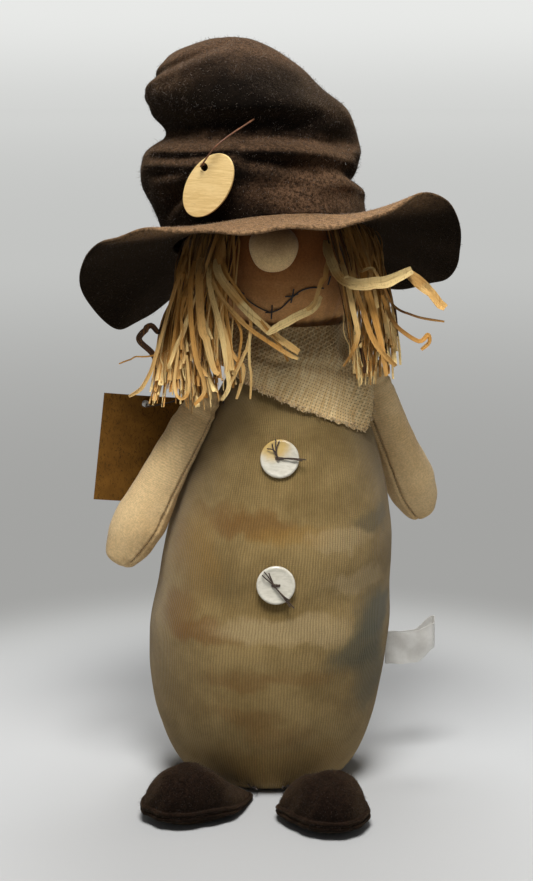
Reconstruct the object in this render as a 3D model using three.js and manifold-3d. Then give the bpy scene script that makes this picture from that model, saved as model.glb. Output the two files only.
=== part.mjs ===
// Scarecrow doll: a fibre-filled cloth figure about 17 inches tall, with a slouched felt hat and raffia hair.
// Millimetres, +Z up. The origin is the centre of the base, on the surface that the doll stands on.
// The face looks along -Y. Left and right in names are the viewer's, so left is -X.
// An azimuth is in degrees about +Z: 0 is the front, 90 the right, 180 the back.

import * as THREE from "three";
import { mergeVertices } from "three/addons/utils/BufferGeometryUtils.js";
import Module from "manifold-3d";

const wasm = await Module();
wasm.setup();

// Cloth, card and wood by thickness, thread and wire by diameter
const KNIT = 1.6;
const MUSLIN = 0.9;
const FELT = 2.4;
const BURLAP = 1.5;
const CARD = 0.7;
const TAG_WOOD = 1.6;
const RIBBON = 0.5;
const THREAD = 0.9;
const WIRE = 1.0;
const RAFFIA_W = 3.4;
const RAFFIA_T = 0.8;

// Clearance between pieces that touch
const SEAT = 0.3;

// Body: an egg that flares out from a flat base and leans to the right
const BASE_R = 38;
const BELLY_R = 70.5;
const BELLY_Z = 84;
const BODY_TOP = 264;
const BODY_DEPTH = 0.92;
const LEAN = 12;
const LEAN_FROM = 40;
const LEAN_TO = 220;

// Pellet pouch on the base panel
const POUCH_R = 30;
const POUCH_H = 24;

// Head: a ball on a short neck that is sewn into the body
const NECK_R = 18;
const NECK_DEPTH = 9;
const HEAD_R = 50;
const HEAD_H = 100;
const HEAD_LIFT = 4;
const HEAD_SHIFT = -5;

// Face: places are an azimuth and a height from the head's centre
const NOSE_R = 13.5;
const NOSE_FLATTEN = 0.75;
const NOSE_AT = { azimuth: -3.5, rise: 9 };
const MOUTH_LINE = [[-27, -14], [-17, -21], [-8, -24.5], [1, -21], [8.5, -17], [17, -14], [31, -9.5]];
const MOUTH_CROSSES = [[-8, -24.5], [8.5, -17]];
const CROSS_L = 7;

// Hat: the seam between crown and brim is tipped back and cocked up on the right
const HAT_SHIFT = -5.6;
const SEAM_RISE = 10;
const SEAM_TIP = 17;
const SEAM_COCK = 5;
const BRIM_W = 47;
// Height of the brim's edge over the seam's centre, every 30 degrees from the front towards the right
const BRIM_WAVE = [14, 19, 29, -7, -34, -38, -34, -42, -60, -25, 3, 13];
const BRIM_CURVE = 1.25;
// The brim is wider at its sides
const BRIM_FLARES = [
  { azimuth: 97, reach: 7, spread: 36 },
  { azimuth: 275, reach: 3.5, spread: 40 },
];
// Crown from seam to tip: sideways shift, change of radius, height
const CROWN_LINE = [
  [0, 0, 0],
  [-5, 1.5, 14],
  [-10.5, 4, 33],
  [-10, 4, 47],
  [-6, -3.7, 60.5],
  [-11.5, -3, 71],
  [-19, -8, 82],
  [-22, -15.5, 93],
  [-23.5, -27.5, 103],
  [-22, -44, 110],
];
// Folds across the crown: middle height, its rise towards the right and the front, depth, half width
const CROWN_FOLDS = [
  { height: 54.5, rise: -4, tip: -6.5, depth: 4, width: 6 },
  { height: 94, rise: 14, tip: 0, depth: 3, width: 5 },
];

// Scarf: a burlap wrap with one corner hanging over the right of the chest
const SCARF_RISE = 13;
const SCARF_EASE = 3.5;
const SCARF_SPREAD = 0.1;
const SCARF_DROP = 24;
const SCARF_FOLD = 2.5;
const CORNER_DROP = 38;
const CORNER_FROM = -62;
const CORNER_AT = 57;
const CORNER_TO = 84;

// Arms: length from shoulder to tip, widest radius, shoulder radius and how far each is below the body's top
const ARM_L = 110;
const ARM_R = 15.5;
const ARM_ROOT_R = 9.5;
const ARM_DEPTH = 0.86;
const ARMS = [
  { side: "left", azimuth: -67, drop: 38, splay: 25, back: 0 },
  { side: "right", azimuth: 101, drop: 30, splay: -20.7, back: 23.7 },
];

// Feet: two felt panels with a raw edge standing out at the seam
const FOOT_L = 67;
const FOOT_W = 44;
const FOOT_UP = 21;
const FOOT_SEAM = 8;
const FOOT_FLAT = 0.6;
const FOOT_EDGE = 2.5;
const TOE_WIDEN = 0.1;
const FEET = [
  { side: "left", azimuth: -11, reach: 19, toeOut: 54 },
  { side: "right", azimuth: 15, reach: 18.6, toeOut: 27 },
];

// Buttons: two-hole shell discs, with how far each is below the body's top and its sideways place
const BUTTON_R = 11;
const BUTTON_T = 2.4;
const BUTTON_DISH = 0.6;
const BUTTON_RIM = 2.2;
const BUTTON_HOLE_R = 1.1;
const BUTTON_HOLE_GAP = 4.6;
const BUTTONS = [
  { place: "upper", drop: 62.5, x: 7.5, tails: [[100, 12], [128, 10], [-3, 15]] },
  { place: "lower", drop: 132, x: 5.3, tails: [[132, 10], [100, 9], [-50, 16]] },
];

// Raffia: bunches are spread between two azimuths on a strip under the hat's seam, and their lowest ends
// hang some way below the body's top
const ROOT_STRIP_H = 7;
const ROOT_GAP = 2.5;
const STRANDS = 8;
const BUNCHES = [
  { side: "left", from: -25, to: -100, ends: [[-10, -62], [-62, -46]], drop: 41, rise: 24 },
  { side: "right", from: 25, to: 100, ends: [[38, -56], [74, -36]], drop: 24, rise: 20 },
  { side: "back", from: 118, to: 242, ends: [[38, 48], [-26, 48]], drop: 14, rise: 16 },
];

// Oval tag on a wire, on the front of the crown
const OVAL_L = 39;
const OVAL_W = 24;
const OVAL_HOLE_R = 2.2;
const OVAL_HOLE = { along: 6.5, up: 7.6 };
const OVAL_ANGLE = 54;
const OVAL_AT = { azimuth: -22, way: 0.215 };
const OVAL_STANDOFF = 3.2;
const WIRE_AT = { azimuth: -4, way: 0.44 };
const WIRE_BOW = 5;

// Card tag on a string behind the left arm: the string starts some way below the body's top,
// and the hole hangs below that
const CARD_W = 50;
const CARD_H = 65;
const CARD_HOLE_R = 1.6;
const CARD_HOLE_DROP = 5;
const CARD_TURN = 15;
const CARD_TILT = 6.7;
const STRING_AT = { azimuth: -100, drop: 28 };
const CARD_HANG = { x: -73, y: 26, drop: 17 };
const LOCK_R = 1.9;
const LOCK_L = 6;

// Folded ribbon label sewn into the right side
const LABEL_L = 30;
const LABEL_H = 20;
const LABEL_GAP = 1.2;
const LABEL_AT = { azimuth: 98, height: 72 };
const LABEL_SEAM = 0.6;

// Facets
const BODY_SIDES = 24;
const HEAD_SIDES = 20;
const HAT_SIDES = 28;
const CROWN_STEPS = 14;
const BRIM_SIDES = 36;
const SCARF_SIDES = 32;
const ARM_SIDES = 16;
const FOOT_SIDES = 20;

const { degToRad, lerp, smoothstep } = THREE.MathUtils;

const cloth = (color, roughness = 0.95) => new THREE.MeshStandardMaterial({ color, roughness, metalness: 0 });
const knit = cloth(0x8a7248);
const muslin = cloth(0xb49a6a);
const felt = cloth(0x2b1d14);
const burlap = cloth(0x9b8057);
const raffia = cloth(0xc9a35a, 0.7);
const filling = cloth(0xe6e1d6);
const blackThread = cloth(0x17120e);
const brownThread = cloth(0x3b2a1c);
const wood = cloth(0xc39f68, 0.6);
const kraft = cloth(0x5b3c17, 0.85);
const satin = cloth(0xd8d6d0, 0.5);
const shell = cloth(0xdcdacf, 0.25);
const plastic = cloth(0xe4e2dc, 0.35);
const wireFinish = new THREE.MeshStandardMaterial({ color: 0x5a3a22, roughness: 0.5, metalness: 0.7 });

const doll = new THREE.Group();

function addPiece(name, geometry, material, parent = doll) {
  const mesh = new THREE.Mesh(geometry, material);
  mesh.name = name;
  parent.add(mesh);
  return mesh;
}

// A closed surface through rings of equal length, each cell split along its shorter diagonal.
// The first and last rings are capped, or joined if loop is set.
function loft(rings, loop = false) {
  const count = rings[0].length;
  const points = rings.flat();
  const index = [];
  const strips = loop ? rings.length : rings.length - 1;
  for (let i = 0; i < strips; i++) {
    const low = i * count;
    const high = ((i + 1) % rings.length) * count;
    for (let j = 0; j < count; j++) {
      const k = (j + 1) % count;
      const rising = points[low + j].distanceTo(points[high + k]);
      const falling = points[low + k].distanceTo(points[high + j]);
      if (rising < falling + 0.01) {
        index.push(low + j, low + k, high + k, low + j, high + k, high + j);
      } else {
        index.push(low + j, low + k, high + j, low + k, high + k, high + j);
      }
    }
  }
  if (!loop) {
    const last = (rings.length - 1) * count;
    const middles = [rings[0], rings[rings.length - 1]].map(middleOf);
    points.push(...middles);
    for (let j = 0; j < count; j++) {
      const k = (j + 1) % count;
      index.push(points.length - 2, k, j);
      index.push(points.length - 1, last + j, last + k);
    }
  }
  const geometry = new THREE.BufferGeometry().setFromPoints(points);
  geometry.setIndex(index);
  return geometry;
}

function middleOf(ring) {
  const sum = ring.reduce((total, point) => total.add(point), new THREE.Vector3());
  return sum.divideScalar(ring.length);
}

// Rings of a turned profile, each point placed by place(radius, azimuth, height)
function turn(profile, sides, place) {
  return profile.map(({ x, y }) => ringOf(sides, (azimuth) => place(x, azimuth, y)));
}

function ringOf(sides, place) {
  return Array.from({ length: sides }, (_, i) => place((360 * i) / sides));
}

// The point at an azimuth, out from a centre on the Z axis
function around(radius, azimuth, height, centre = 0) {
  const angle = degToRad(azimuth);
  return new THREE.Vector3(centre + radius * Math.sin(angle), -radius * Math.cos(angle), height);
}

function arc(centreX, centreY, radiusX, radiusY, from, to, steps) {
  return new THREE.EllipseCurve(centreX, centreY, radiusX, radiusY, from, to).getPoints(steps);
}

// The part of a rising profile below a height
function clipTop(profile, height) {
  const over = profile.findIndex((point) => point.y > height);
  const [below, above] = [profile[over - 1], profile[over]];
  const end = below.clone().lerp(above, (height - below.y) / (above.y - below.y));
  return [...profile.slice(0, over), end];
}

function toSolid(geometry) {
  const bare = new THREE.BufferGeometry();
  bare.setAttribute("position", geometry.getAttribute("position").clone());
  bare.setIndex(geometry.getIndex());
  const merged = mergeVertices(bare, 1e-4);
  const vertProperties = new Float32Array(merged.getAttribute("position").array);
  const triVerts = new Uint32Array(merged.getIndex().array);
  return new wasm.Manifold(new wasm.Mesh({ numProp: 3, vertProperties, triVerts }));
}

function toGeometry(solid) {
  const mesh = solid.getMesh();
  const geometry = new THREE.BufferGeometry();
  geometry.setAttribute("position", new THREE.BufferAttribute(mesh.vertProperties, 3));
  geometry.setIndex(new THREE.BufferAttribute(mesh.triVerts, 1));
  geometry.computeVertexNormals();
  return geometry;
}

function fuse(geometries) {
  return toGeometry(geometries.map(toSolid).reduce((whole, next) => whole.add(next)));
}

// Cut a geometry by another one that is given in the doll's frame; holder carries the geometry
function cut(geometry, cutter, holder = doll) {
  holder.updateWorldMatrix(true, false);
  const local = toSolid(cutter).transform(holder.matrixWorld.clone().invert().elements);
  return toGeometry(toSolid(geometry).subtract(local));
}

// A round or flat strand along points
function strand(points, section, steps) {
  const extrudePath = new THREE.CatmullRomCurve3(points, false, "centripetal");
  return new THREE.ExtrudeGeometry(section, { steps, bevelEnabled: false, extrudePath });
}

function extrude(shape, depth, curveSegments) {
  return new THREE.ExtrudeGeometry(shape, { depth, bevelEnabled: false, curveSegments });
}

function roundSection(diameter, sides = 5) {
  const corners = Array.from({ length: sides }, (_, i) => {
    const angle = (2 * Math.PI * i) / sides;
    return new THREE.Vector2((diameter / 2) * Math.cos(angle), (diameter / 2) * Math.sin(angle));
  });
  return new THREE.Shape(corners);
}

function flatSection(width, thickness) {
  const [w, t] = [width / 2, thickness / 2];
  return new THREE.Shape([[-w, -t], [w, -t], [w, t], [-w, t]].map(([x, y]) => new THREE.Vector2(x, y)));
}

// Body

// The neck hole's flats clear the round neck, and the egg turns from oval to round on the way up to it
const neckHoleR = (NECK_R + SEAT) / Math.cos(Math.PI / BODY_SIDES);
const lean = (z) => LEAN * smoothstep(z, LEAN_FROM, LEAN_TO);
const depth = (z) => lerp(BODY_DEPTH, 1, smoothstep(z, LEAN_TO, eggTop(neckHoleR, KNIT)));
const bodyPlace = (radius, azimuth, z) => {
  const point = around(radius, azimuth, z);
  return new THREE.Vector3(lean(z) + point.x, point.y * depth(z), z);
};

// Outline of the egg, inset from its surface, up to where it narrows to endRadius
function bodyProfile(inset, endRadius, lowSteps, highSteps) {
  const halfHeight = BODY_TOP - BELLY_Z - inset;
  const reach = BELLY_R - inset;
  const low = arc(BASE_R, BELLY_Z, reach - BASE_R, BELLY_Z - inset, -Math.PI / 2, 0, lowSteps);
  const high = arc(0, BELLY_Z, reach, halfHeight, 0, Math.acos(endRadius / reach), highSteps);
  return [...low, ...high.slice(1)];
}

function bodyRadius(z) {
  if (z < BELLY_Z) {
    return BASE_R + (BELLY_R - BASE_R) * Math.sqrt(1 - (1 - z / BELLY_Z) ** 2);
  }
  return BELLY_R * Math.sqrt(Math.max(0, 1 - ((z - BELLY_Z) / (BODY_TOP - BELLY_Z)) ** 2));
}

// Height of the egg's surface over its axis where it has a radius, above or below the belly
const eggTop = (radius, inset = 0) =>
  BELLY_Z + (BODY_TOP - BELLY_Z - inset) * Math.sqrt(1 - (radius / (BELLY_R - inset)) ** 2);
const eggUnder = (radius) =>
  BELLY_Z * (1 - Math.sqrt(1 - Math.min(1, Math.max(0, (radius - BASE_R) / (BELLY_R - BASE_R))) ** 2));

const bodySurface = (azimuth, z) => bodyPlace(bodyRadius(z), azimuth, z);

function bodyNormal(azimuth, z) {
  const step = 0.5;
  const across = bodySurface(azimuth + step, z).sub(bodySurface(azimuth - step, z));
  const up = bodySurface(azimuth, z + step).sub(bodySurface(azimuth, z - step));
  return across.cross(up).normalize();
}

// The egg's outside, and the egg grown by a clearance to cut what lies against it
const bodyOutline = (outset) => bodyProfile(-outset, neckHoleR, 7, 8);
const bodyCutter = (outset) => loft(turn(bodyOutline(outset), BODY_SIDES, bodyPlace));

const neckEdge = eggTop(neckHoleR);
const neckBottom = neckEdge - NECK_DEPTH;

function buildBody() {
  const outside = bodyOutline(0);
  const inside = bodyProfile(KNIT, neckHoleR, 5, 5).reverse();
  addPiece("body_cover", loft(turn([...outside, ...inside], BODY_SIDES, bodyPlace), true), knit);

  const panelR = BASE_R - SEAT;
  const panel = [new THREE.Vector2(panelR, 0), new THREE.Vector2(panelR, KNIT)];
  addPiece("base_panel", loft(turn(panel, BODY_SIDES, bodyPlace)), knit);

  const pouchFloor = KNIT + SEAT;
  const pouchProfile = (grow) => arc(
    POUCH_R - POUCH_H / 2, pouchFloor + POUCH_H / 2, POUCH_H / 2 + grow, POUCH_H / 2 + grow,
    -Math.PI / 2, Math.PI / 2, 6,
  );
  addPiece("pellet_pouch", loft(turn(pouchProfile(0), BODY_SIDES, bodyPlace)), muslin);

  const fillProfile = clipTop(bodyProfile(KNIT + 1.5 * SEAT, neckHoleR, 5, 5), neckBottom - SEAT);
  const fill = loft(turn(fillProfile, BODY_SIDES, bodyPlace));
  addPiece("body_filling", cut(fill, loft(turn(pouchProfile(SEAT), BODY_SIDES, bodyPlace))), filling);

  const ringR = NECK_R + SEAT + THREAD / 2;
  const gather = new THREE.TorusGeometry(ringR, THREAD / 2, 5, 24);
  addPiece("neck_thread", gather, brownThread).position.set(LEAN, 0, neckEdge + SEAT + THREAD / 2);
}

// Head and face

const headZ = neckEdge + HEAD_LIFT + HEAD_H / 2;
const headX = (z) => LEAN + HEAD_SHIFT * smoothstep(z, neckEdge, headZ);
const headPlace = (radius, azimuth, z) => around(radius, azimuth, z, headX(z));

function headRadius(z, out = 0) {
  return (HEAD_R + out) * Math.sqrt(Math.max(0, 1 - ((z - headZ) / (HEAD_H / 2 + out)) ** 2));
}

// A point over the face, at an azimuth and a height from the head's centre
const facePoint = (azimuth, rise, out) => headPlace(headRadius(headZ + rise, out), azimuth, headZ + rise);

function headProfile(inset, steps) {
  const nearTop = Math.PI / 2 - 0.1;
  const reach = HEAD_R - inset;
  const neck = NECK_R - inset;
  const ball = arc(0, headZ, reach, HEAD_H / 2 - inset, -Math.acos(neck / reach), nearTop, steps);
  return [new THREE.Vector2(neck, neckBottom), ...ball];
}

const headCutter = (outset) => loft(turn(headProfile(-outset, 18), 2 * HEAD_SIDES, headPlace));

function buildHead() {
  const inside = headProfile(MUSLIN, 7).reverse();
  addPiece("head_cover", loft(turn([...inside, ...headProfile(0, 10)], HEAD_SIDES, headPlace)), muslin);
  addPiece("head_filling", loft(turn(headProfile(MUSLIN + SEAT, 7), HEAD_SIDES, headPlace)), filling);

  const nose = new THREE.SphereGeometry(NOSE_R, 16, 10);
  nose.scale(1, NOSE_FLATTEN, 1);
  const noseHolder = new THREE.Group();
  noseHolder.position.copy(facePoint(NOSE_AT.azimuth, NOSE_AT.rise, NOSE_R * NOSE_FLATTEN * 0.3));
  noseHolder.rotation.z = degToRad(NOSE_AT.azimuth);
  doll.add(noseHolder);
  addPiece("nose", cut(nose, headCutter(SEAT), noseHolder), muslin, noseHolder);

  const over = SEAT + THREAD / 2 + 0.2;
  const line = MOUTH_LINE.map(([azimuth, rise]) => facePoint(azimuth, rise, over));
  const stitches = [strand(line, roundSection(THREAD), 12)];
  for (const [azimuth, rise] of MOUTH_CROSSES) {
    const wide = THREE.MathUtils.radToDeg(CROSS_L / 2 / HEAD_R);
    for (const slope of [-1, 1]) {
      const high = (slope * CROSS_L) / 2;
      const arms = [-1, 0, 1].map((t) => facePoint(azimuth + t * wide, rise + t * high, over));
      stitches.push(strand(arms, roundSection(THREAD), 2));
    }
  }
  addPiece("mouth_thread", cut(fuse(stitches), headCutter(SEAT)), blackThread);
}

// Hat

const hatX = headX(headZ) + HAT_SHIFT;
const seamCentreZ = headZ + SEAM_RISE;
const seamTilt = (azimuth) =>
  SEAM_TIP * Math.cos(degToRad(azimuth)) + SEAM_COCK * Math.sin(degToRad(azimuth));
const seamZ = (azimuth) => seamCentreZ + seamTilt(azimuth);

// How far the head reaches from the hat's axis at the seam; the hat sits on it where it reaches furthest
function headReach(azimuth) {
  const angle = degToRad(azimuth);
  const radius = Math.max(headRadius(seamZ(azimuth)), headRadius(seamZ(azimuth) - FELT));
  return Math.sqrt(radius ** 2 - (HAT_SHIFT * Math.cos(angle)) ** 2) - HAT_SHIFT * Math.sin(angle);
}
const brimAzimuths = Array.from({ length: BRIM_SIDES }, (_, i) => (360 * i) / BRIM_SIDES);
const crownInR = SEAT + Math.max(...brimAzimuths.map(headReach));
const crownR = crownInR + FELT;

const crownLine = new THREE.CatmullRomCurve3(CROWN_LINE.map((station) => new THREE.Vector3(...station)));
const crownHeight = CROWN_LINE[CROWN_LINE.length - 1][2];

function crownFold(azimuth, height) {
  return CROWN_FOLDS.reduce((depth, fold) => {
    const angle = degToRad(azimuth);
    const middle = fold.height + fold.rise * Math.sin(angle) + fold.tip * Math.cos(angle);
    return depth + fold.depth * Math.exp(-(((height - middle) / fold.width) ** 2));
  }, 0);
}

// A point on the crown: way runs from 0 at the seam to 1 at the tip, inset goes into the felt
function crownPoint(azimuth, way, inset = 0) {
  const { x: side, y: grow, z: height } = crownLine.getPoint(way);
  const radius = crownR + grow - inset - crownFold(azimuth, height);
  const tilt = 1 - smoothstep(height, 0, crownHeight);
  const sunk = inset * smoothstep(way, 0.5, 1);
  return around(radius, azimuth, seamCentreZ + SEAT + height + tilt * seamTilt(azimuth) - sunk, hatX + side);
}

function crownRings(inset, end, steps) {
  return Array.from({ length: steps + 1 }, (_, i) =>
    ringOf(HAT_SIDES, (azimuth) => crownPoint(azimuth, (end * i) / steps, inset)));
}

// The crown's own facets, grown outwards
const crownCutter = (outset) => loft(crownRings(-outset, 1, CROWN_STEPS));

// Height of the brim's edge at an azimuth, on a smooth curve through the wave's points
function brimEdgeRise(azimuth) {
  const count = BRIM_WAVE.length;
  const place = (azimuth / 30 + count) % count;
  const i = Math.floor(place);
  const [a, b, c, d] = [-1, 0, 1, 2].map((step) => BRIM_WAVE[(i + step + count) % count]);
  const t = place - i;
  const slopeB = (c - a) / 2;
  const slopeC = (d - b) / 2;
  const rise = 3 * (c - b) - 2 * slopeB - slopeC;
  const bend = 2 * (b - c) + slopeB + slopeC;
  return b + t * (slopeB + t * (rise + t * bend));
}

function brimPoint(azimuth, radius, below) {
  const out = Math.max(0, (radius - crownR) / BRIM_W);
  const rise = brimEdgeRise(azimuth) - seamTilt(azimuth);
  const flare = BRIM_FLARES.reduce((total, { azimuth: middle, reach, spread }) =>
    total + reach * Math.exp(-(((azimuth - middle) / spread) ** 2)), 0);
  return around(radius + flare * out, azimuth, seamZ(azimuth) + rise * out ** BRIM_CURVE - below, hatX);
}

function buildHat() {
  const [innerEnd, innerSteps, fillFrom] = [0.97, 9, 3];
  const crown = loft([...crownRings(FELT, innerEnd, innerSteps).reverse(), ...crownRings(0, 1, CROWN_STEPS)]);
  addPiece("hat_crown", crown, felt);

  const radii = [crownInR, crownR, crownR + BRIM_W / 3, crownR + (2 * BRIM_W) / 3, crownR + BRIM_W];
  const top = [...radii].reverse().map((radius) => ringOf(BRIM_SIDES, (a) => brimPoint(a, radius, 0)));
  const under = radii.map((radius) => ringOf(BRIM_SIDES, (a) => brimPoint(a, radius, FELT)));
  addPiece("hat_brim", loft([...top, ...under], true), felt);

  const stuffing = loft(crownRings(FELT + 4 * SEAT, innerEnd, innerSteps).slice(fillFrom));
  addPiece("hat_filling", cut(stuffing, headCutter(SEAT)), filling);
}

// Raffia hair

// A repeatable spread of values between 0 and 1
const scatter = (i, k) => {
  const value = Math.sin(i * 12.9898 + k * 78.233) * 43758.5453;
  return value - Math.floor(value);
};

function buildBunch({ side, from, to, ends, drop, rise }) {
  const rootZ = (azimuth) => seamZ(azimuth) - FELT - ROOT_GAP - ROOT_STRIP_H / 2;
  const rootPoint = (azimuth, out) => facePoint(azimuth, rootZ(azimuth) - headZ, out);
  const hold = SEAT + RAFFIA_T / 2 + 0.2;
  const strip = Array.from({ length: 9 }, (_, i) => rootPoint(lerp(from, to, i / 8), hold));
  const pieces = [stripAlong(strip)];
  for (let i = 0; i < STRANDS; i++) {
    const share = (i + 0.15 + 0.7 * scatter(i, 1)) / STRANDS;
    const azimuth = lerp(from, to, share);
    const layer = 3 + 4 * scatter(i, 2);
    const end = new THREE.Vector3(
      lerp(ends[0][0], ends[1][0], share),
      lerp(ends[0][1], ends[1][1], share),
      BODY_TOP - drop + rise * scatter(i, 3),
    );
    const root = rootPoint(azimuth, hold);
    const bend = rootPoint(azimuth, layer + 2);
    bend.z -= 12;
    const hang = end.clone().lerp(bend, 0.45);
    const out = around(2 + layer / 2, azimuth, 0);
    hang.add(out);
    pieces.push(strand([root, bend, hang, end], flatSection(RAFFIA_W, RAFFIA_T), 5));
  }
  addPiece(`hair_${side}`, cut(fuse(pieces), headCutter(SEAT)), raffia);
}

// The strip that the strands are sewn to: a flat band that stands upright along the head
function stripAlong(points) {
  const centre = new THREE.Vector3(headX(headZ), 0, 0);
  const half = new THREE.Vector3(0, 0, ROOT_STRIP_H / 2);
  const rings = points.map((point) => {
    const out = point.clone().sub(centre).setZ(0).setLength(RAFFIA_T / 2);
    const [outer, inner] = [point.clone().add(out), point.clone().sub(out)];
    return [
      inner.clone().sub(half),
      outer.clone().sub(half),
      outer.clone().add(half),
      inner.clone().add(half),
    ];
  });
  const towardsRight = points[0].clone().sub(centre).cross(points[1].clone().sub(centre)).z > 0;
  return loft(towardsRight ? rings.reverse() : rings);
}

// Scarf

// How far the egg reaches from its leaning axis at an azimuth
function bodyReach(azimuth, z) {
  const angle = degToRad(azimuth);
  return bodyRadius(z) / Math.hypot(Math.sin(angle), Math.cos(angle) / depth(z));
}

function buildScarf() {
  const top = headZ - HEAD_H / 2 + SCARF_RISE;
  const looseR = headRadius(top) + SCARF_EASE;
  const drop = (azimuth) => {
    const turned = azimuth > 180 ? azimuth - 360 : azimuth;
    const before = (turned - CORNER_FROM) / (CORNER_AT - CORNER_FROM);
    const after = (CORNER_TO - turned) / (CORNER_TO - CORNER_AT);
    return SCARF_DROP + CORNER_DROP * Math.max(0, Math.min(before, after));
  };
  const point = (azimuth, share, thick) => {
    const z = top - share * drop(azimuth);
    const hanging = looseR + SCARF_SPREAD * (top - z);
    const fold = SCARF_FOLD * Math.sin(Math.PI * share) ** 2 * (1 + Math.cos(degToRad(2 * azimuth + 40)));
    const radius = Math.max(hanging + fold, bodyReach(azimuth, z) + 3 * SEAT) + thick;
    return around(radius, azimuth, z, lean(z));
  };
  const rows = [0, 0.2, 0.4, 0.6, 0.8, 1];
  const inside = rows.map((share) => ringOf(SCARF_SIDES, (azimuth) => point(azimuth, share, 0)));
  const outside = [...rows].reverse().map((share) => ringOf(SCARF_SIDES, (a) => point(a, share, BURLAP)));
  addPiece("scarf", loft([...outside, ...inside], true), burlap);
}

// Arms

// Outline from the tip up to the open shoulder end, inset from the surface
function armProfile(inset, steps) {
  const tip = -ARM_L + inset;
  const palm = ARM_R - inset;
  const root = ARM_ROOT_R - inset;
  const outline = new THREE.SplineCurve([
    new THREE.Vector2(0.12 * palm, tip),
    new THREE.Vector2(0.62 * palm, tip + 0.25 * palm),
    new THREE.Vector2(palm, tip + 1.6 * palm),
    new THREE.Vector2(lerp(root, palm, 0.6), tip / 2),
    new THREE.Vector2(root, 0),
    new THREE.Vector2(0.6 * root, 0.8 * root),
  ]);
  return outline.getPoints(steps);
}

function buildArm({ side, azimuth, drop, splay, back }) {
  const height = BODY_TOP - drop;
  const holder = new THREE.Group();
  const normal = bodyNormal(azimuth, height);
  const surface = bodySurface(azimuth, height);
  holder.position.copy(surface).addScaledVector(normal, ARM_ROOT_R + SEAT);
  holder.rotation.set(degToRad(back), degToRad(splay), 0, "YXZ");
  doll.add(holder);

  const place = (radius, turned, z) => around(radius, turned, z).multiply(new THREE.Vector3(1, ARM_DEPTH, 1));
  const shellProfile = [...armProfile(0, 10), ...armProfile(MUSLIN, 7).reverse()];
  const sleeve = loft(turn(shellProfile, ARM_SIDES, place));
  const swingGap = 2 * SEAT;
  addPiece(`arm_${side}_cover`, cut(sleeve, bodyCutter(swingGap), holder), muslin, holder);
  const inset = MUSLIN + SEAT;
  const stuffing = loft(turn(armProfile(inset, 7), ARM_SIDES, place));
  addPiece(`arm_${side}_filling`, cut(stuffing, bodyCutter(swingGap + inset), holder), filling, holder);

  // A row of stitches over the top of the shoulder, in the crease between arm and body
  const crease = Math.sqrt(2 * ARM_ROOT_R * (THREAD + 2 * SEAT)) + 1.5 * THREAD;
  const across = new THREE.Vector3(0, 0, 1).cross(normal).normalize();
  const up = normal.clone().cross(across);
  const stitches = Array.from({ length: 7 }, (_, i) => {
    const angle = degToRad(20 + (140 * i) / 6);
    const point = surface.clone().addScaledVector(normal, THREAD / 2);
    point.addScaledVector(across, crease * Math.cos(angle));
    return point.addScaledVector(up, crease * Math.sin(angle));
  });
  const tack = cut(strand(stitches, roundSection(THREAD), 10), bodyCutter(SEAT));
  addPiece(`shoulder_thread_${side}`, tack, brownThread);
}

// Feet

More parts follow.
